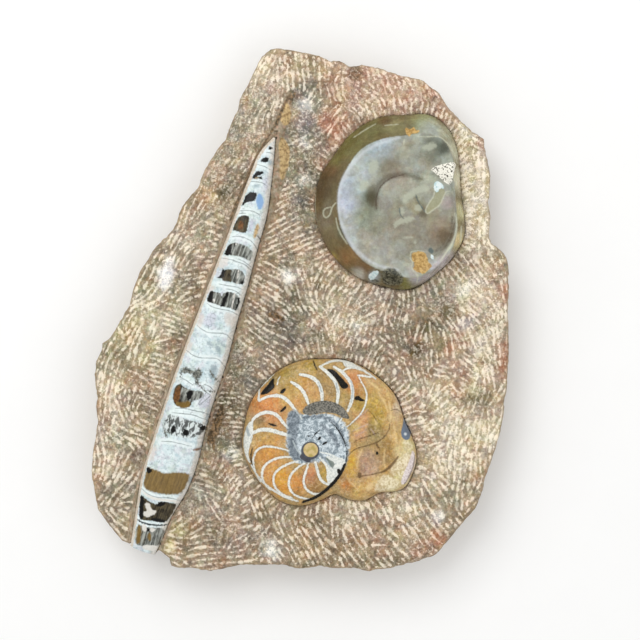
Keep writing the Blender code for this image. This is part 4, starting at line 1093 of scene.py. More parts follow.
def trace_marks(fine, worked, across, up, rng):
    """Evenly spaced lines over the worked ground that follow the directions of the marks."""
    coarse = Field(COARSE_GRID)
    taken = ~worked
    near = ~worked

    def heading(place):
        row, column = coarse.cells(place)
        return np.array((across[row[0], column[0]], up[row[0], column[0]]))

    def blocked(target, place):
        row, column = fine.cells(place)
        return target[row[0], column[0]]

    def trace(seed):
        halves = []
        for sign in (1.0, -1.0):
            place, ways, half = seed, [heading(seed) * sign], []
            while len(half) < LONGEST_TRACE:
                place = place + ways[-1] * MARK_STEP
                if blocked(taken, place):
                    break
                turn = heading(place)
                turn = turn if turn @ ways[-1] > 0 else -turn
                if turn @ ways[max(0, len(ways) - TURN_STEPS)] < MARK_TURN:
                    break
                ways.append(turn)
                half.append(place)
            halves.append(half)
        return np.array(halves[1][::-1] + [seed] + halves[0])

    lines = []
    seeds = deque([np.array(FIRST_SEED)])
    spare = fine.places()[worked.ravel()]
    spare = deque(spare[rng.permutation(len(spare))[:SPARE_SEEDS]])
    while seeds or spare:
        seed = seeds.popleft() if seeds else spare.popleft()
        if blocked(near, seed):
            continue
        line = trace(seed)
        if len(line) < 4:
            row, column = fine.cells(seed)
            stamp(near, row[0], column[0], 2)
            continue
        lines.append(line)
        pitch = MARK_PITCH * coarseness(seed)
        for row, column in zip(*fine.cells(line)):
            stamp(taken, row, column, round(pitch * TAKEN_REACH / GRID))
            stamp(near, row, column, round(pitch * SEED_REACH / GRID))
        for place in line[::3]:
            way = heading(place)
            side = np.array((-way[1], way[0])) * pitch * rng.uniform(*PITCH_SPREAD)
            seeds.extend((place + side, place - side))
    return lines


def cut_marks(lines, row_of, rng):
    """Cut the lines into single marks, which end where their row does or at an uneven length."""
    coarse = Field(COARSE_GRID)
    marks = []
    for line in lines:
        row = row_of[coarse.cells(line)]
        start = 0
        while start < len(line) - 1:
            stop = start + max(3, round(rng.uniform(*MARK_LENGTH) / MARK_STEP))
            changes = np.flatnonzero(row[start:stop] != row[start])
            if len(changes) and changes[0] > 2:
                stop = start + changes[0]
            mark = line[start:stop]
            if len(mark) > 2:
                marks.append(mark)
            start = stop + max(1, round(rng.uniform(*MARK_GAP) / MARK_STEP))
    return marks


def draw_marks(fine, marks, rng):
    """Height of the marks over the ground, how strongly each place is marked, and places for the mesh."""
    height = np.zeros(fine.shape)
    strength = np.zeros(fine.shape)
    spots = []
    for mark in marks:
        width = rng.uniform(*MARK_WIDTH) / 2 * coarseness(mark[len(mark) // 2])
        rise = rng.uniform(*MARK_HEIGHT)
        light = rng.uniform(*MARK_LIGHT)
        path = resample(mark, PATH_STEP, False)
        fade = 1.0 - 0.85 * grit_at(path)
        way = np.gradient(path, axis=0)
        way /= np.hypot(way[:, 0], way[:, 1])[:, None] + 1e-9
        side = np.stack([-way[:, 1], way[:, 0]], axis=1)
        ends = np.minimum(np.arange(len(path)), np.arange(len(path))[::-1]) * PATH_STEP
        taper = 0.55 + 0.45 * ease(ends / TAPER_REACH)
        beads = np.clip(0.9 + 1.1 * wobble(path, 0.8, 8.0), 0.35, 1.25)
        path = path + side * (0.4 * wobble(path, 1.9, 3.0))[:, None]
        crumbs = light * fade * np.clip(0.95 + 1.9 * wobble(path, 0.85, 8.0), 0.12, 1.2)
        halves, heights = width * taper * beads, rise * fade * taper * beads
        for place, half, high, pale in zip(path, halves, heights, crumbs):
            row, column = fine.cells(place)
            radius = int(half / GRID) + 2
            rows, columns = window(row[0], column[0], radius)
            y, x = np.ogrid[rows.start : rows.stop, columns.start : columns.stop]
            x = (x + 0.5) * GRID + FIELD_LOW[0] - place[0]
            y = (y + 0.5) * GRID + FIELD_LOW[1] - place[1]
            share = np.hypot(x, y) / half
            shape = np.clip(1.0 - share**2.4, 0.0, 1.0)
            for values, full in ((height, high), (strength, pale)):
                block = values[rows, columns]
                np.maximum(block, full * shape[: block.shape[0], : block.shape[1]], out=block)
        for offset in (0.0, -0.5, 0.5, -0.98, 0.98):
            spots.append(path[::3] + side[::3] * width * offset)
    return height, strength, np.vstack(spots)


def near_marks(fine, strength, points):
    """1 among the marks, fading to 0 a little way off them."""
    covered = strength > 0.05
    for _ in range(round(WORKED_REACH / GRID)):
        grown = covered.copy()
        grown[1:] |= covered[:-1]
        grown[:-1] |= covered[1:]
        grown[:, 1:] |= covered[:, :-1]
        grown[:, :-1] |= covered[:, 1:]
        covered = grown
    return fine.read(covered.astype(float), points)


def thin_out(points, cell):
    """Keep the first point in each small cell."""
    keys = np.floor(points / cell).astype(np.int64)
    _, first = np.unique(keys[:, 0] * 100003 + keys[:, 1], return_index=True)
    return points[np.sort(first)]


def staggered(low, high, cell, rng, jitter=0.12):
    """A staggered grid of places over a rectangle, slightly shaken."""
    columns = np.arange(low[0], high[0], cell)
    rows = np.arange(low[1], high[1], cell * math.sqrt(0.75))
    grid = np.array([(x + (r % 2) * cell / 2, y) for r, y in enumerate(rows) for x in columns])
    return grid + rng.uniform(-jitter, jitter, grid.shape) * cell


def fill_outline(loop, inner):
    """Triangles over a loop of places and the places inside it, as indices into both together."""
    places = [Vector(place) for place in np.vstack([loop, inner])]
    filled = delaunay_2d_cdt(places, [], [list(range(len(loop)))], 1, 1e-7)
    source = filled[3]
    return [[source[corner][0] for corner in face] for face in filled[2]]


def mesh_object(name, points, faces, materials, attributes):
    """A closed mesh from places in millimetres, with its values for the materials."""
    mesh = bpy.data.meshes.new(name)
    mesh.from_pydata((np.asarray(points) * MM).tolist(), [], faces)
    bm = bmesh.new()
    bm.from_mesh(mesh)
    bmesh.ops.triangulate(bm, faces=bm.faces)
    bmesh.ops.recalc_face_normals(bm, faces=bm.faces)
    bm.to_mesh(mesh)
    bm.free()
    for key, values in attributes.items():
        layer = mesh.attributes.new(key, "FLOAT", "POINT")
        layer.data.foreach_set("value", np.asarray(values, np.float32))
    for finish in materials:
        mesh.materials.append(finish)
    mesh.shade_smooth()
    made = bpy.data.objects.new(name, mesh)
    bpy.context.scene.collection.objects.link(made)
    return made


def linear(colour):
    """A colour given as 0 to 255 on a screen, as light."""
    share = np.array(colour, float) / 255.0
    return np.where(share <= 0.04045, share / 12.92, ((share + 0.055) / 1.055) ** 2.4)


def from_photo(places, height=PHOTO_LEVEL):
    """Places on the plate that show at pixels of the photo, for a height above the underside."""
    away = CAMERA_RISE + PHOTO_LEVEL - height
    spread = (np.array(places, float) - PHOTO_MIDDLE) * PIXEL * away / CAMERA_RISE
    return np.stack([CAMERA_PLACE[0] + spread[..., 0], CAMERA_PLACE[1] - spread[..., 1]], axis=-1)


def from_patch(points, x, y, radius, height=PHOTO_LEVEL):
    """Distance of each place from the middle of a patch on the photo, as a share of its radius."""
    return np.hypot(*(points - from_photo((x, y), height)).T) / (radius * PIXEL)


def curved(line, closed=False, rounds=2):
    """A line with its corners cut twice, so that it bends smoothly."""
    corners = np.array(line, float)
    for _ in range(rounds):
        ahead = np.roll(corners, -1, axis=0) if closed else corners[1:]
        here = corners if closed else corners[:-1]
        pairs = np.stack([here * 0.75 + ahead * 0.25, here * 0.25 + ahead * 0.75], axis=1).reshape(-1, 2)
        corners = pairs if closed else np.vstack([corners[:1], pairs, corners[-1:]])
    return corners


def stroke_depth(points, line, width):
    """How deep each place lies in a stroke, which runs out thin at both ends unless it is only a dot."""
    reach = lengths_along(line)
    thinned = STROKE_TAPER if reach[-1] > 2 * width else 0.0
    reach /= reach[-1]
    best = np.full(len(points), FAR_OUTSIDE)
    for start, stop, first, last in zip(line, line[1:], reach, reach[1:]):
        away, share = nearest_on(points, start, stop)
        place = first + (last - first) * share
        half = width / 2 * (1.0 - thinned * np.abs(2 * place - 1.0) ** 3)
        best = np.maximum(best, half - away)
    return best


def painted(points, height, areas=(), lines=()):
    """How deep each place lies in marks drawn over the photo, in millimetres, below nought outside."""
    best = np.full(len(points), FAR_OUTSIDE)
    for outline in areas:
        best = np.maximum(best, depth_in(points, from_photo(curved(outline, True, 1), height)))
    for width, line in lines:
        best = np.maximum(best, stroke_depth(points, from_photo(curved(line), height), width * PIXEL))
    return best


def tinted(points, height, base, patches, shake=2.5):
    """The stone's colour at each place: a base colour with patches that run into it."""
    moved = points + shake * stirred(points, 7, (21.0, 33.0))
    moved += 0.35 * shake * stirred(points, 2.2, (41.0, 53.0))
    colour = np.tile(linear(base), (len(points), 1))
    for x, y, radius, strength, tone in patches:
        share = strength * np.exp(-from_patch(moved, x, y, radius, height) ** 3)[:, None]
        colour = colour * (1 - share) + linear(tone) * share
    return colour


class Shader:
    """Builds a stone material from nodes: inputs are plain values or the outputs of other nodes."""

    def __init__(self, name):
        self.material = bpy.data.materials.new(name)
        self.material.use_nodes = True
        self.tree = self.material.node_tree
        self.surface = self.tree.nodes["Principled BSDF"]
        self.place = self.tree.nodes.new("ShaderNodeTexCoord").outputs["Object"]

    def node(self, kind, inputs, **settings):
        made = self.tree.nodes.new(kind)
        for key, value in settings.items():
            setattr(made, key, value)
        for key, value in inputs.items():
            self.feed(made.inputs[key], value)
        return made

    def feed(self, socket, value):
        if isinstance(value, bpy.types.NodeSocket):
            self.tree.links.new(value, socket)
        else:
            socket.default_value = value

    def value(self, name):
        return self.node("ShaderNodeAttribute", {}, attribute_name=name).outputs["Fac"]

    def tint(self):
        return self.node("ShaderNodeAttribute", {}, attribute_name="tint").outputs["Color"]

    def sum(self, first, second, operation="ADD"):
        return self.node("ShaderNodeMath", {0: first, 1: second}, operation=operation).outputs[0]

    def times(self, first, second):
        return self.sum(first, second, "MULTIPLY")

    def noise(self, size, detail=3.0, rough=0.55, warp=0.0, at=None, layer=0.0):
        """Soft noise with features of a size in millimetres, about 0.5 on average."""
        inputs = {"Vector": at or self.place, "W": layer, "Scale": 1.0 / (size * MM), "Detail": detail}
        inputs |= {"Roughness": rough, "Distortion": warp}
        return self.node("ShaderNodeTexNoise", inputs, noise_dimensions="4D").outputs["Fac"]

    def clouded(self, colour, tones, size, share, layer=0.0, mode="MIX"):
        """A colour with soft clouds of other tones in it."""
        for number, tone in enumerate(tones):
            cloud = self.step(self.noise(size, 3.0, 0.6, 0.3, layer=layer + number * 3.7), 0.48, 0.62)
            colour = self.mix(self.times(cloud, share), colour, tone, mode)
        return colour

    def cracks(self, size, width):
        """Thin lines round cells of a size."""
        inputs = {"Vector": self.place, "Scale": 1.0 / (size * MM)}
        cells = self.node("ShaderNodeTexVoronoi", inputs, feature="DISTANCE_TO_EDGE")
        return self.step(cells.outputs["Distance"], width, 0.0)

    def along_shell(self, stretch):
        """Places across and along the orthoceras, with its length shortened."""
        sides = {0: self.times(self.value("across"), MM), 1: self.times(self.value("along"), MM * stretch)}
        return self.node("ShaderNodeCombineXYZ", sides).outputs[0]

    def step(self, value, low, high):
        """0 below low, 1 above high, smooth between; the other way round where low is above high."""
        inputs = {"Value": value, "From Min": low, "From Max": high}
        return self.node("ShaderNodeMapRange", inputs, interpolation_type="SMOOTHSTEP").outputs["Result"]

    def mix(self, share, low, high, mode="MIX"):
        low = (*linear(low), 1.0) if isinstance(low, tuple) else low
        high = (*linear(high), 1.0) if isinstance(high, tuple) else high
        made = self.node("ShaderNodeMix", {}, data_type="RGBA", blend_type=mode)
        self.feed(made.inputs[0], share)
        self.feed(made.inputs[6], low)
        self.feed(made.inputs[7], high)
        return made.outputs[2]

    def brighten(self, colour, amount):
        """A colour made lighter or darker by a factor."""
        return self.node("ShaderNodeVectorMath", {0: colour, "Scale": amount}, operation="SCALE").outputs[0]

    def mask(self, name, edge=0.12, ragged=0.0, size=1.0):
        """1 inside the marks of a drawn field and 0 outside, with a ragged edge."""
        depth = self.value(name)
        if ragged:
            depth = self.sum(depth, self.times(self.sum(self.noise(size), -0.5), ragged * 2))
        return self.step(depth, -edge, edge)

    def marked(self, colour, tones, size):
        """A colour with drawn marks over it, each with its edge, how ragged that is, share and tone."""
        for name, edge, ragged, share, tone in tones:
            colour = self.mix(self.times(self.mask(name, edge, ragged, size), share), colour, tone)
        return colour

    def bump(self, height, distance, strength=1.0):
        """Fine relief of a depth in millimetres."""
        inputs = {"Height": height, "Distance": distance * MM, "Strength": strength}
        self.feed(self.surface.inputs["Normal"], self.node("ShaderNodeBump", inputs).outputs["Normal"])

    def finish(self, colour, roughness, specular=0.5):
        self.feed(self.surface.inputs["Base Color"], colour)
        self.feed(self.surface.inputs["Roughness"], roughness)
        self.surface.inputs["Specular IOR Level"].default_value = specular
        return self.material


def limestone():
    """The chiselled rock: pale crushed marks on brown and grey ground, smooth flanks by the orthoceras,
    painted shade in the grooves and a painted shadow line along the shell.
    """
    s = Shader("chiselled_limestone")
    tint = s.clouded(s.tint(), (WARM, LEAFY, SANDY, PALE, DIM, COOL), 8.0, 0.6, 0.0, "OVERLAY")
    tint = s.clouded(tint, (DIM, WARM, PALE, LEAFY, SANDY), 3.6, 0.5, 30.0, "OVERLAY")
    tint = s.clouded(tint, (RUSTY, PALE, LEAFY), 2.4, 0.3, 90.0, "OVERLAY")
    grain = s.noise(0.5, 2.0)
    fine = s.noise(1.5, 4.0, 0.65)
    crumbs = s.sum(s.noise(0.9, 3.0, 0.6), -0.5)
    strip = s.mask("strip", 0.5, 0.5, 1.4)
    side = s.value("side")
    grit = s.value("grit")

    lit = s.node("ShaderNodeRGBToBW", {"Color": tint}).outputs[0]
    field = s.value("mark")
    flecks = s.step(s.noise(1.7, 4.0, 0.65, 0.8, layer=11.0), 0.5, 0.64)
    wider = s.times(s.sum(lit, -0.36), 0.9)
    mark = s.step(s.sum(s.sum(field, wider), s.times(crumbs, 2.4)), 0.18, 0.6)
    mark = s.times(mark, s.sum(0.45, s.times(s.step(s.noise(3.4, 3.0), 0.36, 0.56), 0.55)))
    mark = s.sum(mark, s.times(flecks, s.sum(0.3, s.times(grit, 0.5))), "MAXIMUM")
    # painted shade: the ground is darkened in the grooves between the marks
    groove_shade = s.times(s.value("worked"), s.step(s.sum(field, s.times(crumbs, 1.4)), 0.3, 0.0))
    pits = s.step(s.sum(s.noise(1.3, 3.0, 0.6, layer=7.0), s.times(field, 0.14)), 0.46, 0.35)
    ground = s.brighten(tint, s.sum(s.times(fine, 1.4), 0.08))
    depth = s.sum(s.times(lit, 0.6), 0.26)
    ground = s.mix(s.times(groove_shade, 0.6), ground, s.brighten(tint, depth))
    ground = s.mix(s.times(pits, 0.75), ground, s.brighten(tint, s.times(depth, 0.7)))
    light = s.mix(0.62, s.brighten(tint, 1.55), CRUSHED_STONE)
    light = s.mix(s.times(s.step(grain, 0.6, 0.4), 0.5), light, s.brighten(light, 0.82))
    face = s.mix(mark, ground, light)

    flank = s.clouded(s.mix(0.6, tint, FLANK_TAN), (GREY, BROWN, CREAM, PINK, OLIVE), 2.6, 0.5, 60.0)
    flank = s.brighten(flank, s.sum(s.times(s.noise(0.8, 3.0), 0.7), 0.5))
    face = s.mix(strip, face, flank)
    # painted shadow: the rock is darkened in a line along the orthoceras's edges
    seam_shadow = s.step(s.sum(s.value("seam"), s.times(s.noise(2.0), 1.4)), -0.9, 1.3)
    face = s.mix(s.times(seam_shadow, 0.55), face, s.mix(fine, (80, 64, 44), (146, 128, 100)))
    rough_side = s.mix(s.step(s.noise(6.0, 5.0, 0.65), 0.38, 0.62), (118, 99, 76), (176, 158, 130))
    rough_side = s.mix(s.step(s.noise(1.6, 4.0, 0.7), 0.5, 0.66), rough_side, (206, 192, 166))
    face = s.mix(side, face, rough_side)
    stains_and_shadow = (
        # this mark holds real stains and a painted shadow line beside the orthoceras
        ("stain_and_shadow", 0.5, 1.2, 0.88, s.mix(s.step(fine, 0.42, 0.62), (60, 48, 28), (146, 116, 80))),
        ("ochre", 0.5, 1.2, 0.8, s.mix(s.step(fine, 0.38, 0.58), (146, 114, 66), (218, 188, 132))),
        ("droplet", 0.5, 1.2, 1.0, s.mix(fine, (84, 94, 112), (124, 132, 146))),
    )
    face = s.marked(face, stains_and_shadow, 1.2)
    s.bump(s.sum(s.times(grain, 0.6), s.times(fine, 0.8)), 0.4, 0.8)
    return s.finish(face, s.sum(0.92, s.times(strip, -0.3)), 0.35)


def sawn_limestone():
    """The flat back: saw lines across brown and grey rock."""
    s = Shader("sawn_limestone")
    stretched = s.node("ShaderNodeMapping", {"Vector": s.place, "Scale": (0.05, 1.0, 1.0)}).outputs[0]
    lines = s.noise(0.8, 3.0, 0.6, at=stretched)
    clouds = s.noise(22.0, 5.0, 0.6, 0.6)
    colour = s.mix(s.step(clouds, 0.35, 0.65), (136, 118, 96), (181, 168, 146))
    colour = s.mix(s.step(s.noise(3.0, 4.0), 0.6, 0.72), colour, (209, 198, 178))
    colour = s.mix(s.times(s.step(lines, 0.45, 0.7), 0.35), colour, (215, 205, 186))
    s.bump(s.sum(lines, s.times(s.noise(0.6, 2.0), 0.4)), 0.25, 0.6)
    return s.finish(colour, 0.75, 0.4)


def banded_shell():
    """The orthoceras: white calcite with black, brown and grey chambers and thin dark septa, the grey
    streaks in the dark chambers partly painted reflection.
    """
    s = Shader("banded_calcite")
    grain_and_sheen_streaks = s.noise(0.9, 4.0, 0.65, 0.3, s.along_shell(0.12))
    cloud = s.noise(3.4, 4.0, 0.6, 0.5)
    fine = s.noise(1.1, 4.0, 0.6, 0.4)
    blots = s.noise(1.5, 3.0, 0.6, 0.6, s.along_shell(0.45))
    veins = s.cracks(2.3, 0.07)
    whites = ((178, 200, 206), (230, 242, 242), (204, 202, 210), (194, 210, 200))
    white = s.clouded((208, 224, 226), whites, 5.0, 0.7, 5.0)
    white = s.clouded(white, ((150, 168, 174), (240, 248, 248)), 2.0, 0.45, 50.0)
    beside = s.step(s.sum(s.value("line"), s.times(s.sum(fine, -0.5), 1.2)), -1.9, -0.7)
    white = s.mix(s.times(beside, 0.6), white, (238, 247, 245))
    white = s.mix(s.times(s.times(veins, s.step(cloud, 0.5, 0.6)), 0.5), white, (112, 120, 122))
    pale = s.mix(s.step(fine, 0.4, 0.6), (186, 178, 164), (228, 218, 208))
    white = s.mix(s.times(s.mask("margin", 0.8, 0.8), 0.7), white, pale)
    # grey streaks: partly the shell's grain, partly painted reflection
    stripes_and_sheen = s.mix(s.step(cloud, 0.42, 0.58), (38, 38, 32), (92, 92, 84))
    stripes_and_sheen = s.mix(s.step(grain_and_sheen_streaks, 0.42, 0.64), stripes_and_sheen, (172, 176, 168))
    lilac = s.mix(s.times(veins, 0.8), s.mix(fine, (172, 172, 190), (222, 218, 232)), (92, 98, 112))
    umber = s.step(s.sum(grain_and_sheen_streaks, s.times(cloud, 0.5)), 0.58, 0.96)
    olive = s.step(s.sum(grain_and_sheen_streaks, s.times(fine, 0.4)), 0.4, 1.0)
    tones = (
        ("blush", 1.0, 1.6, 0.55, s.mix(fine, (206, 186, 172), (232, 220, 210))),
        ("mist", 0.9, 1.8, 0.8, s.mix(fine, (112, 132, 140), (168, 184, 190))),
        ("lilac", 0.9, 1.6, 0.6, lilac),
        ("smoke", 0.6, 2.0, 0.95, s.mix(s.step(fine, 0.4, 0.66), (46, 46, 38), (138, 138, 126))),
        ("speckle", 0.5, 1.4, 0.9, s.mix(s.step(blots, 0.47, 0.54), (62, 62, 58), (214, 222, 220))),
        ("ochre", 0.5, 0.8, 0.95, s.mix(s.step(fine, 0.35, 0.6), (150, 116, 66), (208, 178, 128))),
        ("umber", 0.25, 0.8, 1.0, s.mix(umber, (30, 24, 16), (98, 88, 64))),
        ("stripes_and_sheen", 0.3, 0.8, 0.96, stripes_and_sheen),
        ("olive", 0.6, 0.8, 0.97, s.mix(olive, (96, 72, 26), (142, 114, 58))),
        ("rust", 0.5, 0.8, 0.9, s.mix(s.step(fine, 0.36, 0.66), (84, 52, 24), (138, 92, 48))),
        ("black", 0.3, 1.0, 1.0, s.mix(s.step(fine, 0.6, 0.8), (7, 6, 4), (58, 52, 36))),
        ("cream", 0.3, 0.7, 0.9, s.mix(fine, (206, 200, 190), (240, 238, 230))),
        ("sky", 0.5, 0.4, 0.95, s.mix(cloud, (118, 158, 204), (156, 188, 224))),
    )
    colour = s.marked(white, tones, 0.9)
    lines = s.times(s.mask("line", 0.2, 0.15), s.sum(0.2, s.times(cloud, 1.0)))
    colour = s.mix(lines, colour, (84, 96, 98))
    rim = s.mix(s.step(fine, 0.4, 0.6), (196, 178, 154), (224, 212, 196))
    colour = s.mix(s.times(s.mask("left", 0.3, 0.4), 0.85), colour, rim)
    s.bump(s.sum(s.times(veins, -0.6), s.noise(0.5, 2.0)), 0.06, 0.5)
    return s.finish(colour, s.sum(0.2, s.times(cloud, 0.16)), POLISH)


def grey_shell():
    """The polished ammonite: grey and blue whorls, an olive brown rim, ochre, black and white spots, a
    painted highlight along its shoulder and painted shade at its seam.
    """
    s = Shader("grey_fossil")
    cloud = s.noise(4.6, 5.0, 0.65, 0.6)
    fine = s.noise(1.5, 5.0, 0.7, 0.4)
    tones = ((208, 216, 216), (160, 156, 142), (190, 194, 208), (198, 182, 176), (208, 208, 196))
    tint = s.clouded(s.tint(), tones, 6.0, 0.4, 0.0, "OVERLAY")
    tint = s.clouded(tint, ((214, 216, 212), (154, 152, 144), (184, 194, 186)), 2.2, 0.25, 20.0, "OVERLAY")
    colour = s.brighten(tint, s.sum(s.times(cloud, 0.7), s.sum(s.times(fine, 0.42), 0.4)))
    specks = s.step(s.noise(0.8, 2.0, 0.5), 0.38, 0.47)
    tones = (
        # painted shade in and beside the seam
        ("dusk", 1.2, 1.2, 0.6, (80, 70, 50)),
        ("soft", 0.8, 1.4, 0.65, (184, 188, 168)),
        # painted highlight along the shoulder
        ("crest", 1.0, 0.8, 0.6, (206, 212, 216)),
        ("seam", 0.4, 0.3, 0.8, (78, 60, 48)),
        ("olive", 0.3, 0.3, 0.8, s.mix(fine, (138, 138, 102), (178, 176, 146))),
        ("black", 0.6, 1.2, 0.9, s.mix(s.step(fine, 0.42, 0.62), (38, 40, 32), (124, 122, 102))),
        ("teal", 0.3, 0.5, 0.8, (82, 98, 98)),
        # the shell's pale lines, two of them painted highlights along the shoulder
        ("pale", 0.35, 0.4, 0.6, (206, 208, 184)),
        ("orange", 0.3, 0.7, 0.92, s.mix(s.step(fine, 0.38, 0.62), (160, 122, 62), (212, 176, 110))),
        ("speckle", 0.2, 0.3, 1.0, s.mix(specks, (84, 80, 70), (246, 243, 230))),
        ("white", 0.25, 0.5, 0.95, s.mix(s.step(fine, 0.35, 0.6), (176, 208, 212), (232, 242, 242))),
    )
    colour = s.marked(colour, tones, 1.1)
    s.bump(s.noise(2.2, 4.0, 0.5), 0.05, 0.6)
    return s.finish(colour, s.sum(0.2, s.times(fine, 0.14)), POLISH)


def amber_shell():
    """The cut ammonite: ochre and orange chambers between white walls, a grey heart, black hollows, a
    painted shadow along its step and a painted highlight on the droplet.
    """
    s = Shader("amber_fossil")
    cloud = s.noise(3.2, 5.0, 0.65, 0.6)
    fine = s.noise(0.9, 4.0, 0.6)
    casts = (PALE, (162, 154, 138), (196, 182, 180), (200, 190, 172))
    tint = s.clouded(s.tint(), casts, 4.0, 0.45, 0.0, "OVERLAY")
    tint = s.clouded(tint, ((222, 218, 208), DIM, (184, 190, 174)), 1.5, 0.5, 20.0, "OVERLAY")
    pale = s.step(s.noise(2.6, 4.0, 0.65, 1.0, layer=31.0), 0.5, 0.68)
    tint = s.mix(s.times(pale, 0.35), tint, (222, 196, 154))
    wrinkles = s.times(s.cracks(1.9, 0.12), s.times(s.step(cloud, 0.46, 0.6), 0.3))
    tint = s.mix(wrinkles, tint, (236, 218, 184))
    marbled = s.sum(s.times(s.noise(1.9, 4.0, 0.65, 1.6, layer=44.0), 1.1), s.times(fine, 0.5))
    chamber = s.brighten(tint, s.sum(marbled, 0.1))
    beside = s.step(s.sum(s.value("wall"), s.times(s.sum(cloud, -0.5), 1.6)), -1.0, 0.1)
    chamber = s.mix(s.times(beside, 0.45), chamber, s.brighten(chamber, 0.55))
    halo = s.step(s.sum(s.value("black"), s.times(s.sum(cloud, -0.5), 1.2)), -1.0, 0.2)
    chamber = s.mix(s.times(halo, 0.4), chamber, (110, 92, 56))
    swirl = s.noise(2.2, 4.0, 0.6, 1.2)
    grey = s.mix(s.step(swirl, 0.4, 0.6), (132, 146, 154), (214, 225, 230))
    shade = s.mix(s.step(swirl, 0.38, 0.62), (94, 104, 112), (150, 160, 168))
    grey = s.mix(s.mask("shade", 0.7, 1.0, 1.8), grey, shade)
    grey = s.mix(s.times(s.cracks(1.5, 0.07), 0.5), grey, (100, 112, 118))
    dusk = s.mix(s.step(s.noise(0.7, 3.0), 0.4, 0.6), (78, 78, 72), (136, 132, 122))
    white = s.mix(s.step(fine, 0.3, 0.6), (190, 196, 192), (236, 238, 230))
    white = s.mix(s.times(s.mask("shade", 0.4, 0.5, 1.2), 0.8), white, (150, 164, 170))
    colour = s.mix(s.mask("heart", 0.8, 1.8, 2.0), chamber, grey)
    rough = s.step(s.noise(1.7, 4.0, 0.65, 0.8), 0.36, 0.6)
    hub = s.step(s.noise(2.4, 3.0), 0.38, 0.62)
    tones = (
        ("rough", 1.0, 1.6, 0.8, s.mix(rough, (190, 170, 128), (246, 236, 206))),
        ("strip", 0.4, 0.8, 0.9, s.mix(s.step(fine, 0.34, 0.62), (198, 184, 184), (242, 232, 232))),
        ("ridge", 0.6, 0.8, 0.55, (238, 212, 158)),
        ("lilac", 0.4, 0.5, 0.6, (190, 168, 160)),
        ("crack", 0.35, 0.5, 0.8, (88, 64, 34)),
        ("wall", 0.25, 0.5, 0.95, white),
        ("hollow", 0.3, 0.5, 0.85, s.mix(fine, (70, 84, 76), (118, 130, 122))),
        ("crescent", 0.25, 0.3, 1.0, dusk),
        # the shell's black hollows, and the painted shadow along the step
        ("black", 0.2, 0.5, 1.0, s.mix(s.step(fine, 0.52, 0.72), (12, 10, 6), (58, 48, 30))),
        ("ring", 0.25, 0.2, 0.95, s.mix(fine, (44, 46, 54), (84, 84, 92))),
        ("hub", 0.25, 0.2, 1.0, s.mix(hub, (176, 158, 92), (208, 184, 134))),
        ("droplet", 0.2, 0.15, 1.0, s.mix(fine, (84, 96, 114), (124, 136, 152))),
        # painted highlight on the droplet
        ("dot", 0.4, 0.1, 0.9, (214, 220, 222)),
    )
    colour = s.marked(colour, tones, 1.0)
    s.bump(s.sum(s.noise(1.4, 4.0, 0.5), s.times(s.mask("black", 0.2), -1.5)), 0.06, 0.7)
    return s.finish(colour, s.sum(0.2, s.times(cloud, 0.16)), POLISH)


def broken(outline, level, breaks):
    """How deep the broken side is cut at a level, 0 at the underside and 1 at the rim."""
    return sum(
        depth * np.abs(wobble(outline, size, first + level * layers))
        for depth, size, first, layers in breaks
    )


def side_rings(outline, levels):
    """Insets of the broken side at finer levels than the solid's, with small chips added."""
    shares = [share for share, _ in SIDE_LEVELS]
    depths = np.array([least + broken(outline, share, SIDE_BREAKS) for share, least in SIDE_LEVELS])
    depths -= depths.min(axis=0)
    rows = []
    for level in levels:
        smooth = np.array([np.interp(level, shares, column) for column in depths.T])
        rows.append(smooth + broken(outline, level, SIDE_FLAKES))
    return np.array(rows) - np.min(rows, axis=0), depths[-1]


def free_of(candidates, points, reach):
    """Which candidates have no point within a reach of them, roughly."""
    cell = reach / 1.5
    shape = (int(FIELD_SIZE[1] / cell) + 4, int(FIELD_SIZE[0] / cell) + 4)
    taken = np.zeros(shape, bool)
    spots = ((points - FIELD_LOW) / cell + 2).astype(int)
    spots = spots[(spots >= 1).all(axis=1) & (spots[:, 0] < shape[1] - 1) & (spots[:, 1] < shape[0] - 1)]
    for dy in (-1, 0, 1):
        for dx in (-1, 0, 1):
            taken[spots[:, 1] + dy, spots[:, 0] + dx] = True
    cells = np.clip(((candidates - FIELD_LOW) / cell + 2).astype(int), 0, (shape[1] - 1, shape[0] - 1))
    return ~taken[cells[:, 1], cells[:, 0]]


def drawn_in(outline, inset):
    """An outline drawn in towards the middle of the plate."""
    reach = np.hypot(outline[:, 0], outline[:, 1])
    return outline * (1.0 - inset / reach)[:, None]


def add_tint(piece, colours):
    """A colour for each vertex, for the material to work with."""
    layer = piece.data.attributes.new("tint", "FLOAT_COLOR", "POINT")
    layer.data.foreach_set("color", np.column_stack([colours, np.ones(len(colours))]).ravel())


def worked_ground(shells):
    """Which cells of the fine field are chiselled: not the smooth strip, the ammonites or bare spots."""
    half = Field(GRID * 2)
    places = half.places()
    worked = inside(places, SLAB_OUTLINE) & (depth_in(places, POLISHED_OUTLINE) < 0.0)
    for outline in shells:
        worked &= ~inside(places, widened(outline, UNWORKED))
    worked &= wobble(places, 8, 77.0) < BARE_PATCHES
    return np.repeat(np.repeat(worked.reshape(half.shape), 2, axis=0), 2, axis=1)


def in_pockets(points, shells):
    """Which places lie over the floors of the fossils' pockets."""
    return np.any([inside(points, widened(line, OVERLAP - UNDERCUT)) for line in shells], axis=0)


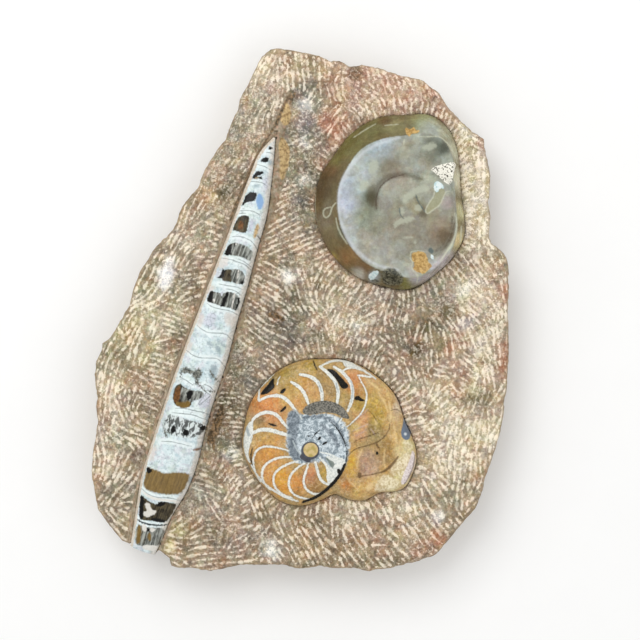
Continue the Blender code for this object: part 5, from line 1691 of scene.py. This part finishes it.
def face_places(rim, shells, spots, rng):
    """Places for the rock's face: along the pockets' walls and the marks, and grids over the rest."""
    feet = [widened(line, gap) for line in shells for gap in (OVERLAP - 2 * UNDERCUT, OVERLAP)]
    cells = (FLANK_CELL, FLOOR_CELL, GROUND_CELL)
    flank, floor, ground = (staggered(FIELD_LOW, -np.array(FIELD_LOW), cell, rng) for cell in cells)
    flank = flank[depth_in(flank, POLISHED_OUTLINE) > -0.4]
    spots = thin_out(spots, SPOT_CELL)
    flank, ground, spots = (places[~in_pockets(places, shells)] for places in (flank, ground, spots))
    chosen = np.vstack([*(resample(line, WALL_STEP) for line in feet), spots])
    for extra in (flank, ground, floor[in_pockets(floor, shells)]):
        chosen = np.vstack([chosen, extra[free_of(extra, chosen, FREE_REACH)]])
    return chosen[inside(chosen, rim) & (distance_to(chosen, rim, True) > RIM_CLEAR)]


def carved_height(points, raised, grit):
    """Height of the chiselled face at each place, where the marks are raised by given heights."""
    worked = ease(0.5 - depth_in(points, POLISHED_OUTLINE))
    relief = raised - GROOVE_DEPTH * (1.0 - 0.7 * grit) + 0.5 * grit * wobble(points, 1.7, 72.0)
    level = face_height(points) + worked * relief
    return level + (0.14 * wobble(points, 1.3, 70.0) + 0.2 * wobble(points, 3.5, 71.0))


def closed_sides(face, faces, outline, levels, insets):
    """The face's places with the rings of the broken side under them; their faces join the list."""
    count = len(outline)
    points = [face]
    rings = [range(count)]
    for share, inset in zip(levels[::-1], insets[::-1]):
        up = share * face[:count, 2]
        if share > 0.0:
            up = up + 0.35 * wobble(outline, 3.0, 120 + share * 9)
        start = sum(len(part) for part in points)
        points.append(np.column_stack([drawn_in(outline, inset), up]))
        rings.append(range(start, start + count))
    for above, below in zip(rings, rings[1:]):
        for i in range(count):
            after = (i + 1) % count
            faces.append([below[i], below[after], above[after], above[i]])
    faces.append(list(rings[-1]))
    return np.vstack(points)


def shell_seam_shadow(points):
    """How deep each place lies in the painted shadow line where the orthoceras meets the rock."""
    left, right, _ = orthoceras_edges(SHADOW_LINE_STATIONS)
    edges = ((left, *SHADOW_LINE_LEFT), (right, *SHADOW_LINE_RIGHT))
    return np.max([half - distance_to(points, edge[:last]) for edge, half, last in edges], axis=0)


def build_slab(rng):
    """The rock: chiselled face with hollows for the fossils, broken sides and a sawn back."""
    fine = Field()
    upper = ring_places(UPPER_OUTLINE, UPPER_CENTRE, POCKET_PLACES)
    lower = ring_places(LOWER_OUTLINE, LOWER_CENTRE, POCKET_PLACES)
    shells = (orthoceras_pocket_outline(), upper, lower)
    across, up, row_of = mark_directions(Field(COARSE_GRID), rng)
    lines = trace_marks(fine, worked_ground((upper, lower)), across, up, rng)
    height, strength, spots = draw_marks(fine, cut_marks(lines, row_of, rng), rng)

    outline = resample(SLAB_OUTLINE[::-1], RIM_STEP)
    levels = np.linspace(0.0, 1.0, SIDE_ROWS + 1)[:-1]
    insets, top_inset = side_rings(outline, levels)
    rim = drawn_in(outline, RIM_INSET + RIM_FOLLOW * top_inset + broken(outline, 1.0, RIM_CHIPS))
    chosen = face_places(rim, shells, spots, rng)
    top = np.vstack([rim, chosen])
    grit = grit_at(top)
    level = carved_height(top, fine.read(height, top), grit)
    level[in_pockets(top, shells)] = POCKET_FLOOR - POCKET_GAP
    faces = fill_outline(rim, chosen)
    points = closed_sides(np.column_stack([top, level]), faces, outline, levels, insets)

    flat = points[:, :2]
    below = np.zeros(len(points) - len(top))
    on_side = np.concatenate([np.zeros(len(top)), below + 1.0])
    on_side[: len(rim)] = RIM_SIDE
    values = {
        "mark": np.where(on_side > 0.5, 0.0, fine.read(strength, flat)),
        "worked": np.where(on_side > 0.5, 0.0, near_marks(fine, strength, flat)),
        "strip": depth_in(flat, POLISHED_OUTLINE),
        # the painted shadow line along the orthoceras
        "seam": shell_seam_shadow(flat),
        "side": on_side,
        "grit": np.concatenate([grit, below]),
        "stain_and_shadow": painted(flat, PHOTO_LEVEL, STAIN_AND_SHADOW_AREAS, STAIN_AND_SHADOW_LINES),
        "ochre": painted(flat, OCHRE_LEVEL, OCHRE_AREAS),
        "droplet": painted(flat, PHOTO_LEVEL, (DROPLET,)),
    }
    slab = mesh_object("chiselled_slab", points, faces, (limestone(), sawn_limestone()), values)
    add_tint(slab, tinted(flat, PHOTO_LEVEL, SLAB_TONE, SLAB_PATCHES))
    for face in slab.data.polygons:
        if face.center.z < 1e-6:
            face.material_index = 1
    return slab


def build_orthoceras():
    """The orthoceras: arched sections from tip to cut end, with its chambers drawn along it."""
    left, right, rise = orthoceras_edges(ORTHOCERAS_STATIONS)
    middles = (left + right) / 2
    foot = face_height(middles) - 0.6
    arch = np.linspace(0.0, math.pi, ORTHOCERAS_SIDES + 1)
    across = (1.0 - np.cos(arch)) / 2
    points, along, sideways = [], [], []
    for a, b, up, ground, distance in zip(left, right, rise, foot, lengths_along(middles)):
        width = np.hypot(*(b - a))
        row = [a, *(a + (b - a) * share for share in across), b]
        heights = [POCKET_FLOOR, *(ground + up * np.sin(arch) ** 0.8), POCKET_FLOOR]
        points += [(x, y, z) for (x, y), z in zip(row, heights)]
        offsets = np.concatenate([[0.0], across, [1.0]]) * 2 - 1
        along += [distance] * len(row)
        sideways += list(offsets * width / 2)
    size = len(across) + 2
    faces = []
    for k in range(len(left) - 1):
        here, there = k * size, (k + 1) * size
        faces += [[here + i, here + i + 1, there + i + 1, there + i] for i in range(size - 1)]
        faces.append([here + size - 1, here, there, there + size - 1])
    faces.append(list(range(size)))
    faces.append(list(range((len(left) - 1) * size, len(left) * size)))
    along, sideways = np.array(along), np.array(sideways)
    half = np.repeat(np.hypot(*(right - left).T) / 2, size)
    share = sideways / np.maximum(half, 0.1)
    flat = np.array(points)[:, :2]
    shaken = 0.6 * wobble(flat, 2.8, 14.0) + 0.35 * wobble(flat, 1.1, 15.0)
    values = {name: painted(flat, ORTHOCERAS_LEVEL, *marks) for name, marks in ORTHOCERAS_MARKS.items()}
    values |= {"along": along, "across": sideways, "margin": share * half - half + 2.2 + shaken}
    values["left"] = 1.5 - (share + 1.0) * half + 0.8 * shaken
    walls = [(0.9, line) for line in SEPTA]
    values["line"] = painted(flat + 0.25 * shaken[:, None], ORTHOCERAS_LEVEL, (), walls)
    return mesh_object("banded_orthoceras", points, faces, (banded_shell(),), values)


def dome_points(outline, features, rng):
    """Places for a fossil's top: a fine staggered grid, with rows along the lines that shape it."""
    low, high = outline.min(axis=0), outline.max(axis=0)
    grid = staggered(low, high, DOME_CELL, rng)
    rows = np.vstack([resample(line, DOME_CELL, closed) for line, closed in features])
    grid = grid[free_of(grid, rows, DOME_CELL * 0.8)]
    near = np.vstack([rows, grid])
    return near[inside(near, outline) & (distance_to(near, outline, True) > DOME_CELL * 0.5)]


def dome(name, outline, inner, heights, finish, values, tint):
    """A fossil from the height of its outline and of the places inside it, closed down to its pocket."""
    count = len(outline)
    top = np.vstack([outline, inner])
    faces = fill_outline(outline, inner)
    foot = np.column_stack([outline, np.full(count, POCKET_FLOOR)])
    points = np.vstack([np.column_stack([top, heights]), foot])
    low = len(top)
    faces += [[low + i, low + (i + 1) % count, (i + 1) % count, i] for i in range(count)]
    faces.append(list(range(low, low + count)))
    values = {key: np.concatenate([field, field[:count]]) for key, field in values.items()}
    piece = mesh_object(name, points, faces, (finish,), values)
    add_tint(piece, np.vstack([tint, tint[:count]]))
    return piece


def build_upper_ammonite(rng):
    """The polished ammonite: steep rim, sharp shoulder, a whorl that dips to its seam, a low heart."""
    outline = ring_places(UPPER_OUTLINE, UPPER_CENTRE)
    shoulder = ring_places(UPPER_SHOULDER, UPPER_CENTRE, 400)
    seam = ring_places(UPPER_SEAM, UPPER_CENTRE, 300)
    inner = dome_points(outline, ((shoulder, True), (seam, True)), rng)
    top = np.vstack([outline, inner])
    radius, angle = polar(top, UPPER_CENTRE)
    lines = (UPPER_OUTLINE, UPPER_SHOULDER, UPPER_SEAM)
    edge, crest, valley = (polar_curve(line, UPPER_CENTRE)(angle) for line in lines)
    rim = smooth_profile(UPPER_PROFILE)((edge - radius) / (edge - crest))
    whorl = ((0.0, UPPER_PROFILE[-1][1]), *UPPER_WHORL)
    whorl = smooth_profile(whorl)((crest - radius) / (crest - valley))
    heart = ((1.0 - share, level) for share, level in UPPER_HEART)
    heart = smooth_profile(((0.0, UPPER_WHORL[-1][1]), *heart, (1.0, UPPER_TOP)))(1.0 - radius / valley)
    level = np.where(radius > crest, rim, np.where(radius > valley, whorl, heart))
    level -= 0.3 * np.exp(-(((radius - valley) / 0.5) ** 2)) * ease((np.cos(angle - SEAM_MIDDLE) - 0.4) * 3)
    level = np.minimum(level, HIGHEST)
    values = {name: painted(top, UPPER_LEVEL, *marks) for name, marks in UPPER_MARKS.items()}
    tint = tinted(top, UPPER_LEVEL, UPPER_TONE, UPPER_PATCHES_HIGHLIGHTS_AND_SHADOWS, 1.2)
    rim_tint = tinted(top, RIM_LEVEL, RIM_TONE, RIM_PATCHES_AND_DARK_REFLECTION, 1.2)
    share = ease((radius - crest) / 0.5)[:, None]
    tint = tint * (1 - share) + rim_tint * share
    return dome("grey_ammonite", outline, inner, level, grey_shell(), values, tint)


def build_lower_ammonite(rng):
    """The cut ammonite: a low polished dome, stepped where its last whorl overlaps the coil."""
    outline = ring_places(LOWER_OUTLINE, LOWER_CENTRE)
    step = from_photo(curved(LOWER_STEP), LOWER_LEVEL)
    beside = np.gradient(step, axis=0)
    beside = np.stack([-beside[:, 1], beside[:, 0]], axis=1)
    beside /= np.hypot(*beside.T)[:, None]
    inner = dome_points(outline, ((step - beside * 0.12, False), (step + beside * 0.12, False)), rng)
    top = np.vstack([outline, inner])
    radius, angle = polar(top, LOWER_CENTRE)
    edge = polar_curve(LOWER_OUTLINE, LOWER_CENTRE)(angle)
    level = smooth_profile((*LOWER_PROFILE, (1.0, LOWER_TOP)))(1.0 - radius / edge)
    chamber = inside(top, from_photo(LOWER_CHAMBER, LOWER_LEVEL))
    away = distance_to(top, step)
    level -= np.where(chamber, LOWER_STEP_DEPTH * np.exp(-((away / STEP_FADE) ** 2)), 0.0)
    values = {name: painted(top, LOWER_LEVEL, *marks) for name, marks in LOWER_MARKS.items()}
    level -= 0.25 * ease(values["black"] / 0.5 + 0.5)
    tint = tinted(top, LOWER_LEVEL, LOWER_TONE, LOWER_PATCHES, 1.0)
    return dome("amber_ammonite", outline, inner, level, amber_shell(), values, tint)


def add_light(name, place, size, power):
    """A soft square light that points at the middle of the plate."""
    lamp = bpy.data.lights.new(name, "AREA")
    lamp.size = size
    lamp.energy = power
    made = bpy.data.objects.new(name, lamp)
    made.location = place
    made.rotation_euler = (Vector(LIGHT_AIM) - Vector(place)).to_track_quat("-Z", "Y").to_euler()
    bpy.context.scene.collection.objects.link(made)


def build_studio():
    """The camera over the plate, the pale floor and the lights."""
    scene = bpy.context.scene
    camera = bpy.data.objects.new("camera", bpy.data.cameras.new("camera"))
    camera.data.lens = LENS
    camera.data.sensor_width = SENSOR
    camera.location = [side * MM for side in (*CAMERA_PLACE, PHOTO_LEVEL + CAMERA_RISE)]
    scene.collection.objects.link(camera)
    scene.camera = camera
    scene.view_settings.view_transform = "Standard"

    mesh = bpy.data.meshes.new("floor")
    corners = [(x * FLOOR_REACH, y * FLOOR_REACH, 0) for x, y in ((-1, -1), (1, -1), (1, 1), (-1, 1))]
    mesh.from_pydata(corners, [], [(0, 1, 2, 3)])
    floor = bpy.data.objects.new("floor", mesh)
    floor.location.z = -FLOOR_DROP
    s = Shader("pale_floor")
    mesh.materials.append(s.finish(s.mix(s.noise(40.0), (246, 246, 245), (250, 250, 249)), 0.9, 0.1))
    scene.collection.objects.link(floor)

    world = bpy.data.worlds.new("studio")
    world.use_nodes = True
    sky = world.node_tree.nodes["Background"].inputs
    sky["Color"].default_value = (1.0, 1.0, 1.0, 1.0)
    sky["Strength"].default_value = WORLD_LIGHT
    scene.world = world
    for name, (place, size, power) in LIGHTS.items():
        add_light(name, place, size, power)


def main():
    """Dress each node and set up the studio."""
    rng = np.random.default_rng(SEED)
    dressed = (
        (build_slab(rng), "matrix_slab", "limestone"),
        (build_orthoceras(), "orthoceras", "banded_shell"),
        (build_upper_ammonite(rng), "upper_ammonite", "grey_shell"),
        (build_lower_ammonite(rng), "lower_ammonite", "amber_shell"),
    )
    for piece, node, slot in dressed:
        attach(piece, "root")
        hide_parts(node)
    build_studio()


main()
